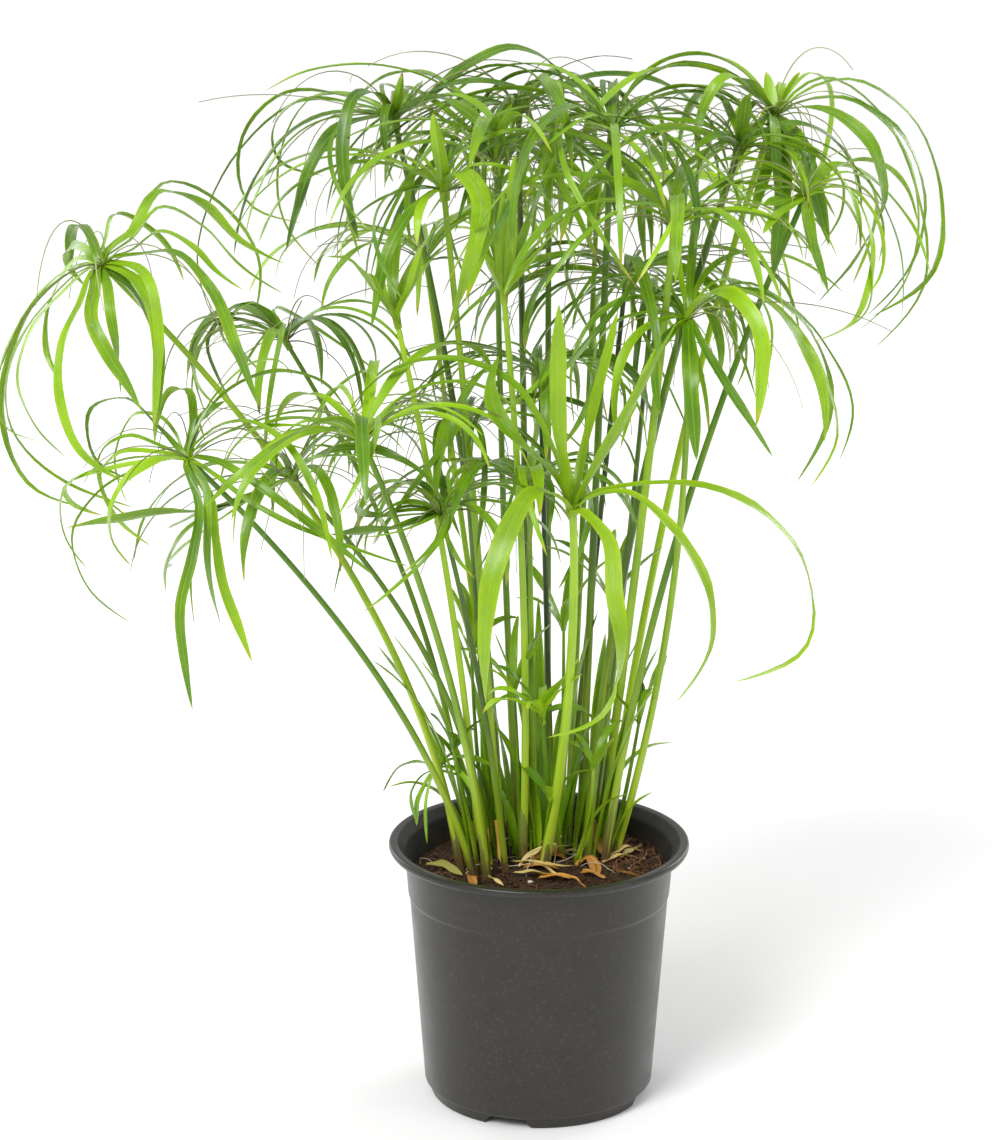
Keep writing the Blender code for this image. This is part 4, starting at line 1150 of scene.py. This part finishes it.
def seated(knots, hub, axis, radius):
    """Knots whose first one is moved to the culm's side, with one more close above it.

    A bract leaves the culm's side below its top, runs up along it, and then bends outwards.
    """
    out = knots[:, 2, :3] - hub
    out = unit(out - (out @ axis)[:, None] * axis)
    low, high = knots[:, 0].copy(), knots[:, 0].copy()
    low[:, :3] = hub - axis * SEAT_BELOW + out * radius * 0.35
    high[:, :3] = hub + axis * SEAT_ABOVE + out * radius * 0.8
    side = unit(np.cross(axis, out))
    flip = np.sign((side * knots[:, 1, 4:]).sum(-1, keepdims=True))
    low[:, 4:] = high[:, 4:] = side * np.where(flip == 0, 1, flip)
    return np.concatenate([low[:, None], high[:, None], knots[:, 1:]], axis=1)


def ray_knots(hub, axis, reach, count):
    """Thin flower rays: each rises from the hub and bends over and down on its own arc."""
    arc = arcs(
        np.tile(hub + axis * MM, (count, 1)),
        azimuth=RNG.uniform(0, 360, count),
        length=reach * RNG.uniform(0.5, 1.0, count),
        launch=RNG.uniform(20, 75, count),
        end=RNG.uniform(-115, -10, count),
        width=0.8 * MM,
        bend=0.9,
        sweep=RNG.uniform(-50, 50, count),
    )
    low, high = np.array(CAD_BOX[0]), np.array(CAD_BOX[1])
    past = np.maximum(low - arc[..., :3], arc[..., :3] - high).max(axis=(1, 2))
    arc = arc[past < 0][..., :4]
    arc[..., 3] = np.linspace(0.5, 0.26, arc.shape[1]) * MM
    return arc


def sheath_skirt(reach, stand, lean, first):
    """How far a sheath stands off its culm: stand below its slanting edge, and inside above it."""

    def offset(share, angle):
        edge = reach + lean * np.cos(angle - first)
        return (stand * (1 - fade(edge - 0.03, edge + 0.03, share)) - 0.3) * MM

    return offset


def build_sheaths(stems):
    """Two sheaths round every culm's foot, one over the other."""
    parts = []
    for stem in stems:
        for low, high, stand in SHEATHS:
            short = through(stem, np.linspace(0, RNG.uniform(*SHEATH_WRAP), 5))
            slant = RNG.uniform(0.1, 0.2), RNG.uniform(0, math.tau)
            skirt = sheath_skirt(RNG.uniform(low, high), stand, *slant)
            parts.append(tubes(short, 26, 12, CULM_RIDGE, RNG.uniform(0, 6), skirt))
    new_piece("sheaths", sheath_skin(), parts, sharp=60)


def build_shoots():
    """Every culm and umbrella, in the skins of its age, and the thin rays of all umbrellas."""
    slots = {row["node"]: row["material_slot"] for row in frame["record"]["subparts"]}
    rays, stems = [], []
    for number in range(1, SHOOTS + 1):
        centres, radii = culm_knots(number)
        age = AGE_OF_SLOT[slots[f"umbrella_{number:02d}"]]
        stem = np.concatenate([centres, radii[:, None] * CULM_ROUND], axis=1)[None]
        stems.append(stem)
        tube = tubes(stem, CULM_RINGS, CULM_SIDES, CULM_RIDGE, number * CULM_TURN)
        new_piece(f"stem_{number:02d}", STEMS[age], [tube], f"culm_{number:02d}")
        hub, axis = centres[-1], unit(centres[-1] - centres[-2])
        knots = bract_knots(number, hub + axis * HUB_RISE)
        sparse = number >= SPARSE_FROM
        spacing = SISTER_SPACING[age] * (SPARSE_SPACING if sparse else 1.0)
        more = sisters(knots, hub, axis, spacing, SISTER_WIDTH[age])
        knots[..., 3] *= MAIN_WIDTH[age]
        every = seated(np.concatenate([knots, more]), hub, axis, radii[-1] * CULM_ROUND)
        new_piece(
            f"bracts_{number:02d}", BLADES[age], [blades(every)],
            f"umbrella_{number:02d}",
        )
        if RAYS[age] and not sparse:
            reach = distance_along(knots[..., :3])[:, -1].mean()
            rays.append(tubes(ray_knots(hub, axis, reach, RAYS[age]), 16, 3))
    ray = dry_skin("ray", (0.10, 0.12, 0.03), (0.36, 0.40, 0.14), 0.4)
    new_piece("flower_rays", ray, rays)
    build_sheaths(stems)


def build_floor():
    """A plain pale floor, wide enough to fill the view."""
    mesh = bpy.data.meshes.new("floor")
    corners = [(-8, -4, 0), (8, -4, 0), (8, 12, 0), (-8, 12, 0)]
    mesh.from_pydata(corners, [], [(0, 1, 2, 3)])
    skin, s, shader = new_skin("floor", 0.7)
    shade = s.ramp(s.noise(place_of(s), 3.0), 0.2, 0.8)
    s.feed(shader.inputs["Base Color"], s.mix(shade, (0.93, 0.93, 0.93), (0.95, 0.95, 0.95)))
    mesh.materials.append(skin)
    floor = bpy.data.objects.new("floor", mesh)
    bpy.context.scene.collection.objects.link(floor)


def add_light(name, at, target, size, power, kind="AREA"):
    """A soft square light of a size in metres, or a sun whose size is its angle in radians."""
    light = bpy.data.lights.new(name, kind)
    if kind == "AREA":
        light.size = size
    else:
        light.angle = size
    light.energy = power
    lamp = bpy.data.objects.new(name, light)
    lamp.location = at
    away = np.array(target, float) - np.array(at, float)
    yaw = math.atan2(-away[0], away[1])
    pitch = math.atan2(math.hypot(away[0], away[1]), -away[2])
    lamp.rotation_euler = (pitch, 0, yaw)
    bpy.context.scene.collection.objects.link(lamp)


def build_stage():
    """Floor, lights, surroundings and camera."""
    scene = bpy.context.scene
    build_floor()
    add_light("key", (-1.1, -1.7, 2.3), LIGHTS_AIM, math.radians(24), 2.1, "SUN")
    add_light("fill", (1.9, -1.0, 1.2), LIGHTS_AIM, 0.8, 6)
    add_light("back_right", (1.5, 1.5, 0.9), LIGHTS_AIM, 0.9, 14)
    add_light("back_left", (-1.5, 1.6, 0.9), LIGHTS_AIM, 0.9, 9)
    world = bpy.data.worlds.new("studio")
    world.use_nodes = True
    sky = world.node_tree.nodes["Background"]
    sky.inputs["Color"].default_value = (1, 1, 1, 1)
    sky.inputs["Strength"].default_value = 0.66
    scene.world = world
    scene.view_settings.view_transform = "Standard"
    camera = bpy.data.cameras.new("camera")
    camera.lens = CAMERA_LENS
    camera.sensor_width = 36
    camera.clip_end = 50
    eye = bpy.data.objects.new("camera", camera)
    eye.location = CAMERA_AT
    eye.rotation_euler = (math.radians(90 - CAMERA_TILT), 0, 0)
    scene.collection.objects.link(eye)
    scene.camera = eye


def main():
    """The part, and the stage around it."""
    ground = Ground()
    build_pot()
    build_soil(ground)
    build_shoots()
    build_low_leaves(ground)
    build_litter(ground)
    build_crumbs(ground)
    build_stage()


main()
